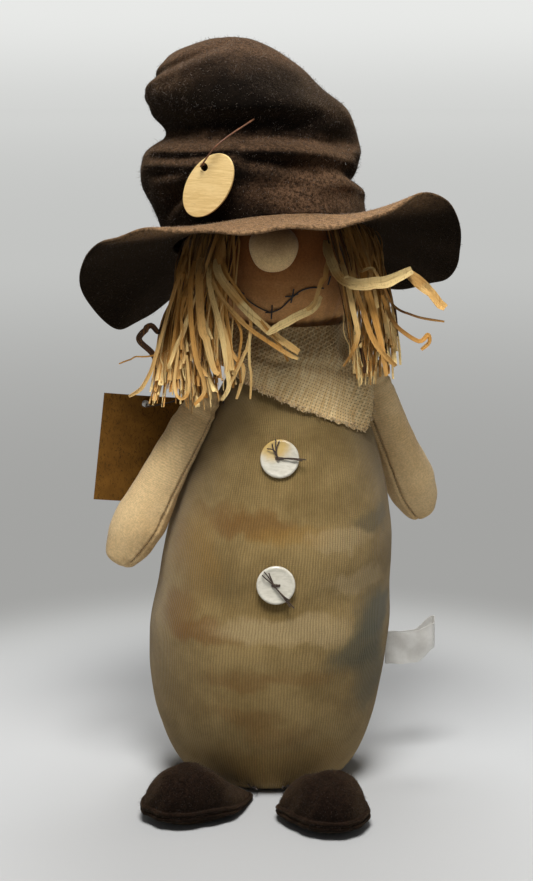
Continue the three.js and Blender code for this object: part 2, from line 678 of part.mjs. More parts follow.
function buildFoot({ side, azimuth, reach, toeOut }) {
  const sideSign = Math.sign(azimuth);
  const heel = bodyPlace(BASE_R + reach, azimuth, 0);
  const toe = around(1, sideSign * toeOut, 0);
  const across = new THREE.Vector3(-toe.y, toe.x, 0);
  const middle = heel.clone().addScaledVector(toe, FOOT_L / 2);

  // A point at a share of the way out to the outline, and how high the belly lets it rise
  const spot = (turned, share, out) => {
    const angle = degToRad(turned);
    const along = (FOOT_L / 2) * Math.cos(angle);
    const aside = (FOOT_W / 2) * Math.sin(angle) * (1 + TOE_WIDEN * Math.cos(angle));
    const stretch = share * (1 + out / Math.hypot(along, aside));
    return middle.clone().addScaledVector(toe, along * stretch).addScaledVector(across, aside * stretch);
  };
  const ceiling = (point) => eggUnder(Math.hypot(point.x, point.y / BODY_DEPTH)) - SEAT;
  const rimTop = FOOT_SEAM + SEAT / 2 + FELT;
  const ring = (share, out, height, below = 0) => ringOf(FOOT_SIDES, (turned) => {
    const point = spot(turned, share, out);
    const room = ceiling(point);
    const squash = Math.min(1, room / rimTop);
    return point.setZ(Math.min(height * squash, room - below * squash));
  });

  // Felt over and under the filling, on rings at the same shares of the outline
  const shares = [0.1, FOOT_FLAT, 0.8, 0.93, 1];
  const upperSeam = FOOT_SEAM + SEAT / 2;
  const dome = (share, inset) => upperSeam + (FOOT_UP - inset) * Math.sqrt(1 - share ** 2);
  const lining = shares.map((share) => ring(share, -FELT, dome(share, FELT), FELT));
  const upperEdge = [ring(1, FOOT_EDGE, upperSeam), ring(1, FOOT_EDGE, rimTop)];
  const outside = shares.map((share) => ring(share, 0, Math.max(dome(share, 0), rimTop))).reverse();
  const upper = loft([...lining, ...upperEdge, ...outside]);
  addPiece(`foot_${side}_upper`, cut(upper, bodyCutter(SEAT)), felt);

  const rimZ = FOOT_SEAM - SEAT / 2 - FELT;
  const bowl = (share) => rimZ * Math.max(0, (share - FOOT_FLAT) / (1 - FOOT_FLAT)) ** 2;
  const under = shares.map((share) => ring(share, 0, bowl(share)));
  const soleEdge = [ring(1, FOOT_EDGE, rimZ), ring(1, FOOT_EDGE, rimZ + FELT)];
  const over = shares.map((share) => ring(share, -FELT, bowl(share) + FELT)).reverse();
  addPiece(`foot_${side}_sole`, cut(loft([...under, ...soleEdge, ...over]), bodyCutter(SEAT)), felt);

  const inset = FELT + SEAT;
  const filled = shares.slice(0, -1);
  const low = filled.map((share) => ring(share, -inset, bowl(share) + inset));
  const high = filled.map((share) => ring(share, -inset, dome(share, inset) - SEAT, inset + SEAT)).reverse();
  addPiece(`foot_${side}_filling`, loft([...low, ...high]), filling);

  // Zigzag stitches from the heel's edge to the rim of the base
  const stitchZ = SEAT + THREAD / 2;
  const rimR = bodyRadius(stitchZ + THREAD / 2 + SEAT);
  const stitches = [-2, -1, 0, 1, 2].map((step) => {
    const aside = 2 * step;
    const round = Math.sqrt(1 - (aside / (FOOT_W / 2)) ** 2);
    const edge = middle.clone().addScaledVector(across, aside);
    edge.addScaledVector(toe, -(FOOT_L / 2) * round - FOOT_EDGE - SEAT - THREAD);
    if (step % 2 === 0) {
      return edge.setZ(rimZ + FELT / 2);
    }
    const inward = rimR / Math.hypot(edge.x, edge.y / BODY_DEPTH);
    return edge.multiplyScalar(inward).setZ(stitchZ);
  });
  const seam = strand(stitches, roundSection(THREAD), 16);
  addPiece(`heel_thread_${side}`, cut(seam, bodyCutter(SEAT)), brownThread);
}

// Buttons

function buildButton({ place, drop, x, tails }) {
  const height = BODY_TOP - drop;
  const aside = (x - lean(height)) / bodyRadius(height);
  const azimuth = THREE.MathUtils.radToDeg(Math.asin(aside));
  const normal = bodyNormal(azimuth, height);
  const holder = new THREE.Group();
  holder.position.copy(bodySurface(azimuth, height)).addScaledVector(normal, SEAT);
  const up = new THREE.Vector3(0, 0, 1).addScaledVector(normal, -normal.z).normalize();
  holder.matrix.makeBasis(up.clone().cross(normal), up, normal);
  holder.quaternion.setFromRotationMatrix(holder.matrix);
  doll.add(holder);

  const profile = [
    [0, 0], [BUTTON_R - 0.5, 0], [BUTTON_R, 0.5], [BUTTON_R, BUTTON_T - 0.6], [BUTTON_R - 0.7, BUTTON_T],
    [BUTTON_R - BUTTON_RIM, BUTTON_T - BUTTON_DISH], [0, BUTTON_T - BUTTON_DISH],
  ].map(([radius, z]) => new THREE.Vector2(radius, z));
  const disc = new THREE.LatheGeometry(profile, 20).rotateX(Math.PI / 2);
  const holes = [-1, 1].map((sign) => {
    const drill = new THREE.CylinderGeometry(BUTTON_HOLE_R, BUTTON_HOLE_R, 4 * BUTTON_T, 8);
    return toSolid(drill.rotateX(Math.PI / 2).translate((sign * BUTTON_HOLE_GAP) / 2, 0, 0));
  });
  const drilled = holes.reduce((solid, hole) => solid.subtract(hole), toSolid(disc));
  addPiece(`button_${place}`, toGeometry(drilled), shell, holder);

  // Thread up through one hole, across, down the other, with a knot and loose tails
  const top = BUTTON_T + SEAT + THREAD / 2;
  const half = BUTTON_HOLE_GAP / 2;
  const at = (px, py, pz) => new THREE.Vector3(px, py, pz);
  const loop = [at(-half, 0, 0.1), at(-half, 0, top - 0.6), at(-half + 0.8, 0, top), at(half - 0.8, 0, top),
    at(half, 0, top - 0.6), at(half, 0, 0.1)];
  const strands = [strand(loop, roundSection(THREAD), 10)];
  strands.push(new THREE.SphereGeometry(THREAD * 1.3, 6, 4).translate(-half / 2, 0, top + THREAD * 0.7));
  for (const [direction, length] of tails) {
    const angle = degToRad(direction);
    const [dx, dy] = [Math.cos(angle), Math.sin(angle)];
    const lift = top + THREAD * 0.7;
    const run = [0, 0.5, 1].map((t) => at(-half / 2 + dx * length * t, dy * length * t, lift + 1.2 * t * t));
    strands.push(strand(run, roundSection(THREAD), 3));
  }
  addPiece(`button_thread_${place}`, fuse(strands), brownThread, holder);
}

// Tags and label

function ovalShape() {
  const shape = new THREE.Shape();
  shape.absellipse(-OVAL_HOLE.along, -OVAL_HOLE.up, OVAL_L / 2, OVAL_W / 2, 0, 2 * Math.PI, false);
  const hole = new THREE.Path();
  hole.absarc(0, 0, OVAL_HOLE_R, 0, 2 * Math.PI, true);
  shape.holes.push(hole);
  return shape;
}

// A holder whose local Z looks out along a level direction, with local Y up
function facing(position, azimuth) {
  const holder = new THREE.Group();
  holder.position.copy(position);
  holder.rotation.set(Math.PI / 2, degToRad(azimuth), 0, "ZXY");
  doll.add(holder);
  return holder;
}

function buildOvalTag() {
  const outward = around(1, OVAL_AT.azimuth, 0);
  const hole = crownPoint(OVAL_AT.azimuth, OVAL_AT.way).addScaledVector(outward, OVAL_STANDOFF);
  const holder = facing(hole, OVAL_AT.azimuth);
  const plate = extrude(ovalShape(), TAG_WOOD, 14);
  addPiece("oval_tag", plate, wood, holder).rotation.z = degToRad(OVAL_ANGLE);

  const pinned = crownPoint(WIRE_AT.azimuth, WIRE_AT.way);
  const wireOut = around(1, WIRE_AT.azimuth, 0);
  const hung = hole.clone();
  hung.z += OVAL_HOLE_R - WIRE / 2 - SEAT;
  const overHole = (out) => hung.clone().addScaledVector(outward, out);
  const along = pinned.clone().sub(hung).projectOnPlane(outward);
  const route = [
    pinned.clone().addScaledVector(wireOut, -FELT),
    pinned.clone().addScaledVector(wireOut, WIRE_BOW),
    overHole(TAG_WOOD + 3 * WIRE).addScaledVector(along, 0.5),
    overHole(TAG_WOOD + 3 * WIRE),
    overHole(TAG_WOOD + WIRE),
    overHole(0),
    overHole(-WIRE),
  ];
  const wire = strand(route, roundSection(WIRE, 6), 24);
  addPiece("oval_tag_wire", cut(wire, crownCutter(SEAT)), wireFinish);
}

function buildCardTag() {
  const stringZ = BODY_TOP - STRING_AT.drop;
  const hole = new THREE.Vector3(CARD_HANG.x, CARD_HANG.y, stringZ - CARD_HANG.drop);
  const holder = facing(hole, CARD_TURN);
  const top = CARD_HOLE_DROP;
  const [left, right, bottom] = [-CARD_W / 2, CARD_W / 2, top - CARD_H];
  const corners = [[left, bottom], [right, bottom], [right, top], [left, top]];
  const shape = new THREE.Shape(corners.map(([x, y]) => new THREE.Vector2(x, y)));
  const eyelet = new THREE.Path();
  eyelet.absarc(0, 0, CARD_HOLE_R, 0, 2 * Math.PI, true);
  shape.holes.push(eyelet);
  const card = extrude(shape, CARD, 6);
  addPiece("card_tag", card, kraft, holder).rotation.z = -degToRad(CARD_TILT);

  const outward = around(1, CARD_TURN, 0);
  const hung = hole.clone();
  hung.z += CARD_HOLE_R - THREAD / 2 - SEAT;
  const overHole = (out) => hung.clone().addScaledVector(outward, out);
  const pinned = bodySurface(STRING_AT.azimuth, stringZ);
  const normal = bodyNormal(STRING_AT.azimuth, stringZ);
  const lockZ = CARD + SEAT + LOCK_L / 2;
  const sag = pinned.clone().lerp(overHole(lockZ), 0.55);
  sag.z -= 3;
  const route = [
    pinned.clone().addScaledVector(normal, -2),
    pinned.clone().addScaledVector(normal, 5),
    sag,
    overHole(lockZ + 1.5 * LOCK_L),
    overHole(lockZ + LOCK_L / 2),
    overHole(CARD + SEAT),
    overHole(-1),
  ];
  const string = strand(route, roundSection(THREAD), 26);
  addPiece("card_tag_string", cut(string, bodyCutter(SEAT)), brownThread);

  const boreR = THREAD / 2 + SEAT;
  const bead = [[boreR, -LOCK_L / 2], [LOCK_R, -LOCK_L / 3], [LOCK_R, LOCK_L / 3], [boreR, LOCK_L / 2]];
  const profile = [...bead, bead[0]].map(([radius, z]) => new THREE.Vector2(radius, z));
  const lockHolder = facing(overHole(lockZ), CARD_TURN);
  addPiece("card_tag_lock", new THREE.LatheGeometry(profile, 10).rotateX(Math.PI / 2), plastic, lockHolder);
}

function buildLabel() {
  const half = LABEL_GAP / 2;
  const full = half + RIBBON;
  const fold = LABEL_L - full;
  const outline = new THREE.Shape();
  outline.moveTo(0, -full);
  outline.lineTo(fold, -full);
  outline.absarc(fold, 0, full, -Math.PI / 2, Math.PI / 2, false);
  outline.lineTo(0, full);
  outline.lineTo(0, half);
  outline.lineTo(fold, half);
  outline.absarc(fold, 0, half, Math.PI / 2, -Math.PI / 2, true);
  outline.lineTo(0, -half);
  const ribbon = extrude(outline, LABEL_H, 4);
  const holder = new THREE.Group();
  holder.position.copy(bodyPlace(BELLY_R + LABEL_SEAM, LABEL_AT.azimuth, LABEL_AT.height));
  holder.position.z -= LABEL_H / 2;
  holder.rotation.z = degToRad(LABEL_AT.azimuth - 90);
  doll.add(holder);
  addPiece("side_label", ribbon, satin, holder);
}

buildBody();
buildHead();
buildHat();
BUNCHES.forEach(buildBunch);
buildScarf();
ARMS.forEach(buildArm);
FEET.forEach(buildFoot);
BUTTONS.forEach(buildButton);
buildOvalTag();
buildCardTag();
buildLabel();

export default doll;
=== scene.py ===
"""Looks of the scarecrow doll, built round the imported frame.

Shapes are worked out in millimetres in the row frame: the face looks along -Y and left is -X.
An azimuth is in degrees about +Z: 0 is the front, 90 the right, 180 the back.
"""

import math

import bpy
import numpy as np
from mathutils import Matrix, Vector


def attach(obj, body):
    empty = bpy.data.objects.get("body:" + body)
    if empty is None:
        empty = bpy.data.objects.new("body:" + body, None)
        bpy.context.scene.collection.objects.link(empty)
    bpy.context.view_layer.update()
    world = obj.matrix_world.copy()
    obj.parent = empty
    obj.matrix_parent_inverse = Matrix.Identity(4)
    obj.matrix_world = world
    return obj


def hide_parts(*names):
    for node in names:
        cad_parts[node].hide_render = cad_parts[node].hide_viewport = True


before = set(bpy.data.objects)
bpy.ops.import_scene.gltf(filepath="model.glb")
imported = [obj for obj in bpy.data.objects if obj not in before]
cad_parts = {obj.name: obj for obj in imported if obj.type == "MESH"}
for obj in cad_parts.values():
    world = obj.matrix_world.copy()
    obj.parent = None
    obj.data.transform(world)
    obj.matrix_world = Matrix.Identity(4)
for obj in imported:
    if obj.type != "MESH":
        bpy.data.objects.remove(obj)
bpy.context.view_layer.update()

MM = 0.001
UP = np.array([0, 0, 1.0])
rng = np.random.default_rng(11)

# Sizes shared with the solids
BASE_R, BELLY_R, BELLY_Z, BODY_TOP, BODY_DEPTH = 38.0, 70.5, 84.0, 264.0, 0.92
LEAN, LEAN_FROM, LEAN_TO = 12.0, 40.0, 220.0
NECK_R, NECK_EDGE, NECK_BOTTOM = 18.0, 257.72, 248.72
HEAD_R, HEAD_Z, HEAD_X = 50.0, 311.72, 7.0
HAT_X, SEAM_Z, SEAM_TIP, SEAM_COCK = 1.4, 321.72, 17.0, 5.0
CROWN_IN_R, FELT, BRIM_W, BRIM_CURVE = 55.05, 2.4, 47.0, 1.25
CROWN_R = CROWN_IN_R + FELT
# X and height of each button's middle
BUTTON_SPOTS = {"upper": (7.5, 201.5), "lower": (5.3, 132.0)}
# Height of the brim's edge over SEAM_Z, every 30 degrees round from the front
BRIM_WAVE = np.array([14, 19, 29, -7, -34, -38, -34, -42, -60, -25, 3, 13], float)
# Where the brim reaches further out: azimuth, reach and spread
BRIM_FLARES = [(97.0, 7.0, 36.0), (-85.0, 3.5, 40.0)]
SEAT = 0.3


# Shapes of curves and surfaces

def cosd(degrees):
    return np.cos(np.radians(degrees))


def sind(degrees):
    return np.sin(np.radians(degrees))


def unit(vectors):
    return vectors / np.linalg.norm(vectors, axis=-1, keepdims=True)


def half_turn(azimuth):
    """The same azimuth, counted from -180 to 180."""
    return (np.asarray(azimuth, float) + 180) % 360 - 180


def smoothstep(x, low, high):
    t = np.clip((np.asarray(x, float) - low) / (high - low), 0, 1)
    return t * t * (3 - 2 * t)


def bell(x, middle, width):
    return np.exp(-(((np.asarray(x, float) - middle) / width) ** 2))


def around(radius, azimuth, height, centre=0.0):
    """The point at an azimuth, out from a centre on the Z axis."""
    parts = np.broadcast_arrays(centre + radius * sind(azimuth), -radius * cosd(azimuth), height)
    return np.stack(parts, -1).astype(float)


def heading(azimuth):
    """The level direction out at an azimuth."""
    return around(1.0, azimuth, 0.0)


def catmull(points, t):
    """Points on the smooth curve through the given ones, at places t counted in points."""
    points = np.asarray(points, float)
    t = np.clip(np.asarray(t, float), 0, len(points) - 1 - 1e-9)
    i = t.astype(int)
    f = (t - i)[..., None]
    last = len(points) - 1
    a, b, c, d = (points[np.clip(i + k, 0, last)] for k in (-1, 0, 1, 2))
    return 0.5 * (2 * b + (c - a) * f + (2 * a - 5 * b + 4 * c - d) * f**2 + (3 * b - a - 3 * c + d) * f**3)


def curve(points, count):
    return catmull(points, np.linspace(0, len(points) - 1, count))


WOBBLE_WAVES = 6


def wobble(points, size, seed):
    """A smooth repeatable unevenness between about -1 and 1, with features of a given size."""
    spread = np.random.default_rng(seed)
    total = np.zeros(np.shape(points)[:-1])
    for _ in range(WOBBLE_WAVES):
        direction = spread.normal(size=3)
        direction *= 2 * math.pi / (size * spread.uniform(0.7, 1.5) * np.linalg.norm(direction))
        total += np.sin(points @ direction + spread.uniform(0, 2 * math.pi))
    return total / math.sqrt(WOBBLE_WAVES) / 1.4


def lean(z):
    return LEAN * smoothstep(z, LEAN_FROM, LEAN_TO)


def body_depth(z):
    return BODY_DEPTH + (1 - BODY_DEPTH) * smoothstep(z, LEAN_TO, NECK_EDGE)


def body_radius(z):
    z = np.asarray(z, float)
    low = BASE_R + (BELLY_R - BASE_R) * np.sqrt(np.clip(1 - (1 - z / BELLY_Z) ** 2, 0, 1))
    high = BELLY_R * np.sqrt(np.clip(1 - ((z - BELLY_Z) / (BODY_TOP - BELLY_Z)) ** 2, 0, 1))
    return np.where(z < BELLY_Z, low, high)


def body_place(radius, azimuth, z):
    point = around(radius, azimuth, z, lean(z))
    point[..., 1] *= body_depth(z)
    return point


def body_surface(azimuth, z):
    return body_place(body_radius(z), azimuth, z)


def body_normal(azimuth, z):
    step = 0.5
    across = body_surface(azimuth + step, z) - body_surface(azimuth - step, z)
    up = body_surface(azimuth, z + step) - body_surface(azimuth, z - step)
    return unit(np.cross(across, up))


def azimuth_of(x, z):
    """The azimuth at which the body's front has a given X."""
    return np.degrees(np.arcsin((x - lean(z)) / body_radius(z)))


def clear_of_body(points, gap):
    """Moves points that are in the body, or too near it, out to its surface."""
    z = np.clip(points[..., 2], 0, BODY_TOP - 1)
    x = points[..., 0] - lean(z)
    y = points[..., 1] / body_depth(z)
    reach = np.hypot(x, y)
    wanted = body_radius(z) + gap
    grow = np.where(reach < wanted, wanted / np.maximum(reach, 1e-6), 1)
    moved = points.copy()
    moved[..., 0] = lean(z) + x * grow
    moved[..., 1] = y * grow * body_depth(z)
    return moved


def clear_of_head(points, gap):
    """Moves points that are in the head, or too near it, out to its surface."""
    centre = np.array([HEAD_X, 0, HEAD_Z])
    out = points - centre
    reach = np.linalg.norm(out, axis=-1, keepdims=True)
    return centre + out * np.where(reach < HEAD_R + gap, (HEAD_R + gap) / reach, 1)


def face_point(azimuth, rise, out):
    """A point over the face, at an azimuth and a height from the head's centre."""
    radius = math.sqrt(max(0.0, (HEAD_R + out) ** 2 - rise**2))
    return around(radius, azimuth, HEAD_Z + rise, HEAD_X)


# Meshes

def make(name, verts, faces, uv=None, tone=None, sharp=None):
    mesh = bpy.data.meshes.new(name)
    mesh.from_pydata((np.asarray(verts) * MM).tolist(), [], [list(map(int, face)) for face in faces])
    if uv is not None:
        layer = mesh.uv_layers.new(name="UVMap")
        layer.data.foreach_set("uv", np.asarray(uv, np.float32).ravel())
    if tone is not None:
        attribute = mesh.attributes.new("tone", "FLOAT", "POINT")
        attribute.data.foreach_set("value", np.asarray(tone, np.float32))
    mesh.shade_smooth()
    if sharp is not None:
        mesh.set_sharp_from_angle(angle=math.radians(sharp))
    piece = bpy.data.objects.new(name, mesh)
    bpy.context.scene.collection.objects.link(piece)
    return piece


def grid(rings, sides, shares, runs, wrap=False, open_sides=False):
    """Faces between rings of points, and where their corners lie in the texture, across and along."""
    i, j = np.meshgrid(np.arange(rings - (not wrap)), np.arange(sides - open_sides), indexing="ij")
    i2, j2 = (i + 1) % rings, (j + 1) % sides
    faces = np.stack([i * sides + j, i * sides + j2, i2 * sides + j2, i2 * sides + j], -1).reshape(-1, 4)
    u0, u1, v0, v1 = shares[j], shares[j + 1], runs[i], runs[i + 1]
    return faces, np.stack([u0, v0, u1, v0, u1, v1, u0, v1], -1).reshape(-1, 2)


def shares_of(count):
    return np.arange(count + 1) / count


def lattice(name, rows, wrap=False, sharp=None):
    """A closed surface through rings of equal length, with capped ends or, if wrap is set, joined ones."""
    rows = np.asarray(rows, float)
    count, sides = rows.shape[:2]
    quads, uv = grid(count, sides, shares_of(sides), shares_of(count if wrap else count - 1), wrap)
    verts = rows.reshape(-1, 3)
    faces = quads.tolist()
    if not wrap:
        verts = np.vstack([verts, rows[0].mean(0), rows[-1].mean(0)])
        low, high, last = count * sides, count * sides + 1, (count - 1) * sides
        caps_uv = []
        for k in range(sides):
            n = (k + 1) % sides
            faces.append([low, n, k])
            caps_uv += [(k / sides, 0), ((k + 1) / sides, 0), (k / sides, 0)]
        for k in range(sides):
            n = (k + 1) % sides
            faces.append([high, last + k, last + n])
            caps_uv += [(k / sides, 1), (k / sides, 1), ((k + 1) / sides, 1)]
        uv = np.vstack([uv, caps_uv])
    return make(name, verts, faces, uv, sharp=sharp)


# A direction that no path starts along
ANY_WAY = [0.31, 0.52, 0.8]


def along(path):
    """Directions along a path, and two directions across it that don't twist."""
    tangent = unit(np.gradient(path, axis=0))
    side = [unit(np.cross(tangent[0], ANY_WAY))]
    for step in tangent[1:]:
        side.append(unit(side[-1] - step * (side[-1] @ step)))
    side = np.array(side)
    return tangent, side, np.cross(tangent, side)


def circle(side, up, sides):
    """Directions all round, for each pair of directions across."""
    angle = 2 * math.pi * np.arange(sides) / sides
    return np.cos(angle)[None, :, None] * side[:, None] + np.sin(angle)[None, :, None] * up[:, None]


def tubes(name, paths, radius, sides=8):
    """Round threads along paths, in one piece. A path may give its own radius with its points."""
    verts, faces, uv = [], [], []
    base = 0
    for path in paths:
        path, thick = path if isinstance(path, tuple) else (path, radius)
        count = len(path)
        _, side, up = along(path)
        verts.append((path[:, None] + circle(side, up, sides) * thick).reshape(-1, 3))
        walked = np.concatenate([[0], np.cumsum(np.linalg.norm(np.diff(path, axis=0), axis=1))]) / 100
        quads, places = grid(count, sides, shares_of(sides), walked)
        end = base + (count - 1) * sides
        faces += (quads + base).tolist()
        faces.append([base + j for j in reversed(range(sides))])
        faces.append([end + j for j in range(sides)])
        uv += [places, [(0.5, 0)] * (2 * sides)]
        base += count * sides
    return make(name, np.vstack(verts), faces, np.vstack(uv))


# Places across a strip's section in the texture, and the order that turns a face over
STRIP_SHARES, FLIPPED = np.array([0, 0.5, 1, 1, 0.5, 0, 0]), [0, 3, 2, 1]


def ribbons(name, strips):
    """Thin closed strips: each is (path, direction across at each point, widths, fold, thickness, tone)."""
    verts, faces, uv, tones = [], [], [], []
    base = 0
    for path, across, widths, fold, thickness, tone in strips:
        tangent = unit(np.gradient(path, axis=0))
        across = unit(across - tangent * (across * tangent).sum(1, keepdims=True))
        out = np.cross(tangent, across)
        half = across * widths[:, None] / 2
        ridge = out * (widths * fold)[:, None]
        skin = out * thickness / 2
        section = [path - half - skin, path + ridge - skin, path + half - skin,
                   path + half + skin, path + ridge + skin, path - half + skin]
        count = len(path)
        verts.append(np.stack(section, 1).reshape(-1, 3))
        tones += np.repeat(np.broadcast_to(tone, count), 6).tolist()
        quads, places = grid(count, 6, STRIP_SHARES, shares_of(count - 1))
        faces += (quads[:, FLIPPED] + base).tolist()
        uv.append(places.reshape(-1, 4, 2)[:, FLIPPED].reshape(-1, 2))
        end = base + (count - 1) * 6
        for quad in ([0, 1, 4, 5], [1, 2, 3, 4]):
            faces.append([base + q for q in quad])
            faces.append([end + q for q in reversed(quad)])
            uv.append([(0.5, 0)] * 4 + [(0.5, 1)] * 4)
        base += 6 * count
    return make(name, np.vstack(verts), faces, np.vstack(uv), tones, sharp=25)


def loop_strip(name, rows):
    """A closed strip: rows run round its outline, and its two long edges are joined across the thickness."""
    count, wide = rows.shape[:2]
    quads, uv = grid(count, wide, shares_of(wide), shares_of(count), wrap=True, open_sides=True)
    faces, edge_uv = quads.tolist(), []
    for i in range(count // 2 - 1):
        rim = np.array([i, i + 1, count - 2 - i, count - 1 - i]) * wide
        faces += [rim.tolist(), (rim[::-1] + wide - 1).tolist()]
        edge_uv += [(i / count, 0)] * 8
    return make(name, rows.reshape(-1, 3), faces, np.vstack([uv[:, ::-1], edge_uv]), sharp=50)


def plate(name, hole_r, border, thickness, bend, sides, chamfer=0.3, steps=10):
    """A flat plate round a hole at the origin, lying from 0 to its thickness in Z and then bent."""
    angle = 2 * math.pi * np.arange(sides) / sides
    edge = border(angle)
    rim = hole_r * np.stack([np.cos(angle), np.sin(angle)], 1)
    reach = np.linalg.norm(edge, axis=1, keepdims=True)
    inside = edge * (1 - chamfer / reach)
    rim_in = rim * (1 + chamfer / hole_r)
    shares = np.linspace(0, 1, steps)[:, None, None]
    face = rim_in * (1 - shares) + inside * shares

    def level(ring, z):
        return np.concatenate([ring, np.full((*ring.shape[:-1], 1), z)], -1)

    top = level(face, thickness)
    bottom = level(face[::-1], 0.0)
    walls_out = np.stack([level(edge, thickness - chamfer), level(edge, chamfer)])
    walls_in = np.stack([level(rim, chamfer), level(rim, thickness - chamfer)])
    rows = np.concatenate([top, walls_out, bottom, walls_in])[::-1]
    return lattice(name, bend(rows), wrap=True, sharp=40)


def surface_points(piece, count, seed, keep):
    """Points spread over the faces to keep of a piece, with the direction out at each, in millimetres."""
    spread = np.random.default_rng(seed)
    mesh = piece.data
    mesh.calc_loop_triangles()
    corners = np.array([v.co for v in mesh.vertices]) / MM
    tris = np.array([t.vertices for t in mesh.loop_triangles])
    a, b, c = corners[tris[:, 0]], corners[tris[:, 1]], corners[tris[:, 2]]
    normal = np.cross(b - a, c - a)
    area = np.linalg.norm(normal, axis=1)
    area = area * keep((a + b + c) / 3, normal / np.maximum(area, 1e-9)[:, None])
    pick = spread.choice(len(tris), count, p=area / area.sum())
    s, t = spread.random((2, count, 1))
    flip = s + t > 1
    s, t = np.where(flip, 1 - s, s), np.where(flip, 1 - t, t)
    points = a[pick] + s * (b - a)[pick] + t * (c - a)[pick]
    return points, unit(normal[pick])


FIBRE_R = 0.07


def fuzz(name, points, normals, seed, length):
    """Short bent fibres that stand out of a surface."""
    spread = np.random.default_rng(seed)
    count = len(points)
    reach = spread.uniform(*length, (count, 1)) * spread.random((count, 1)) ** 0.7
    lie = unit(normals + 0.9 * spread.normal(size=(count, 3)))
    curl = unit(lie + 0.9 * spread.normal(size=(count, 3)))
    middle = points + lie * reach * 0.55
    tip = middle + curl * reach * 0.5
    side = unit(np.cross(lie, spread.normal(size=(count, 3))))
    ring = circle(side, np.cross(lie, side), 3) * FIBRE_R
    sunk = points - normals * 0.15
    verts = np.concatenate([sunk[:, None] + ring, middle[:, None] + ring * 0.8, tip[:, None]], 1)
    start = (np.arange(count) * 7)[:, None]
    quads = [start + np.array([k, (k + 1) % 3, 3 + (k + 1) % 3, 3 + k]) for k in range(3)]
    ends = [start + np.array([3 + k, 3 + (k + 1) % 3, 6]) for k in range(3)] + [start + np.array([2, 1, 0])]
    faces = np.concatenate(quads).tolist() + np.concatenate(ends).tolist()
    tone = np.repeat(spread.random(count), 7)
    return make(name, verts.reshape(-1, 3), faces, tone=tone)


# Materials

def colour(red, green, blue):
    """A colour given as 0 to 255 on screen, as the shader takes it."""
    parts = [c / 255 for c in (red, green, blue)]
    return [c / 12.92 if c <= 0.04045 else ((c + 0.055) / 1.055) ** 2.4 for c in parts] + [1.0]


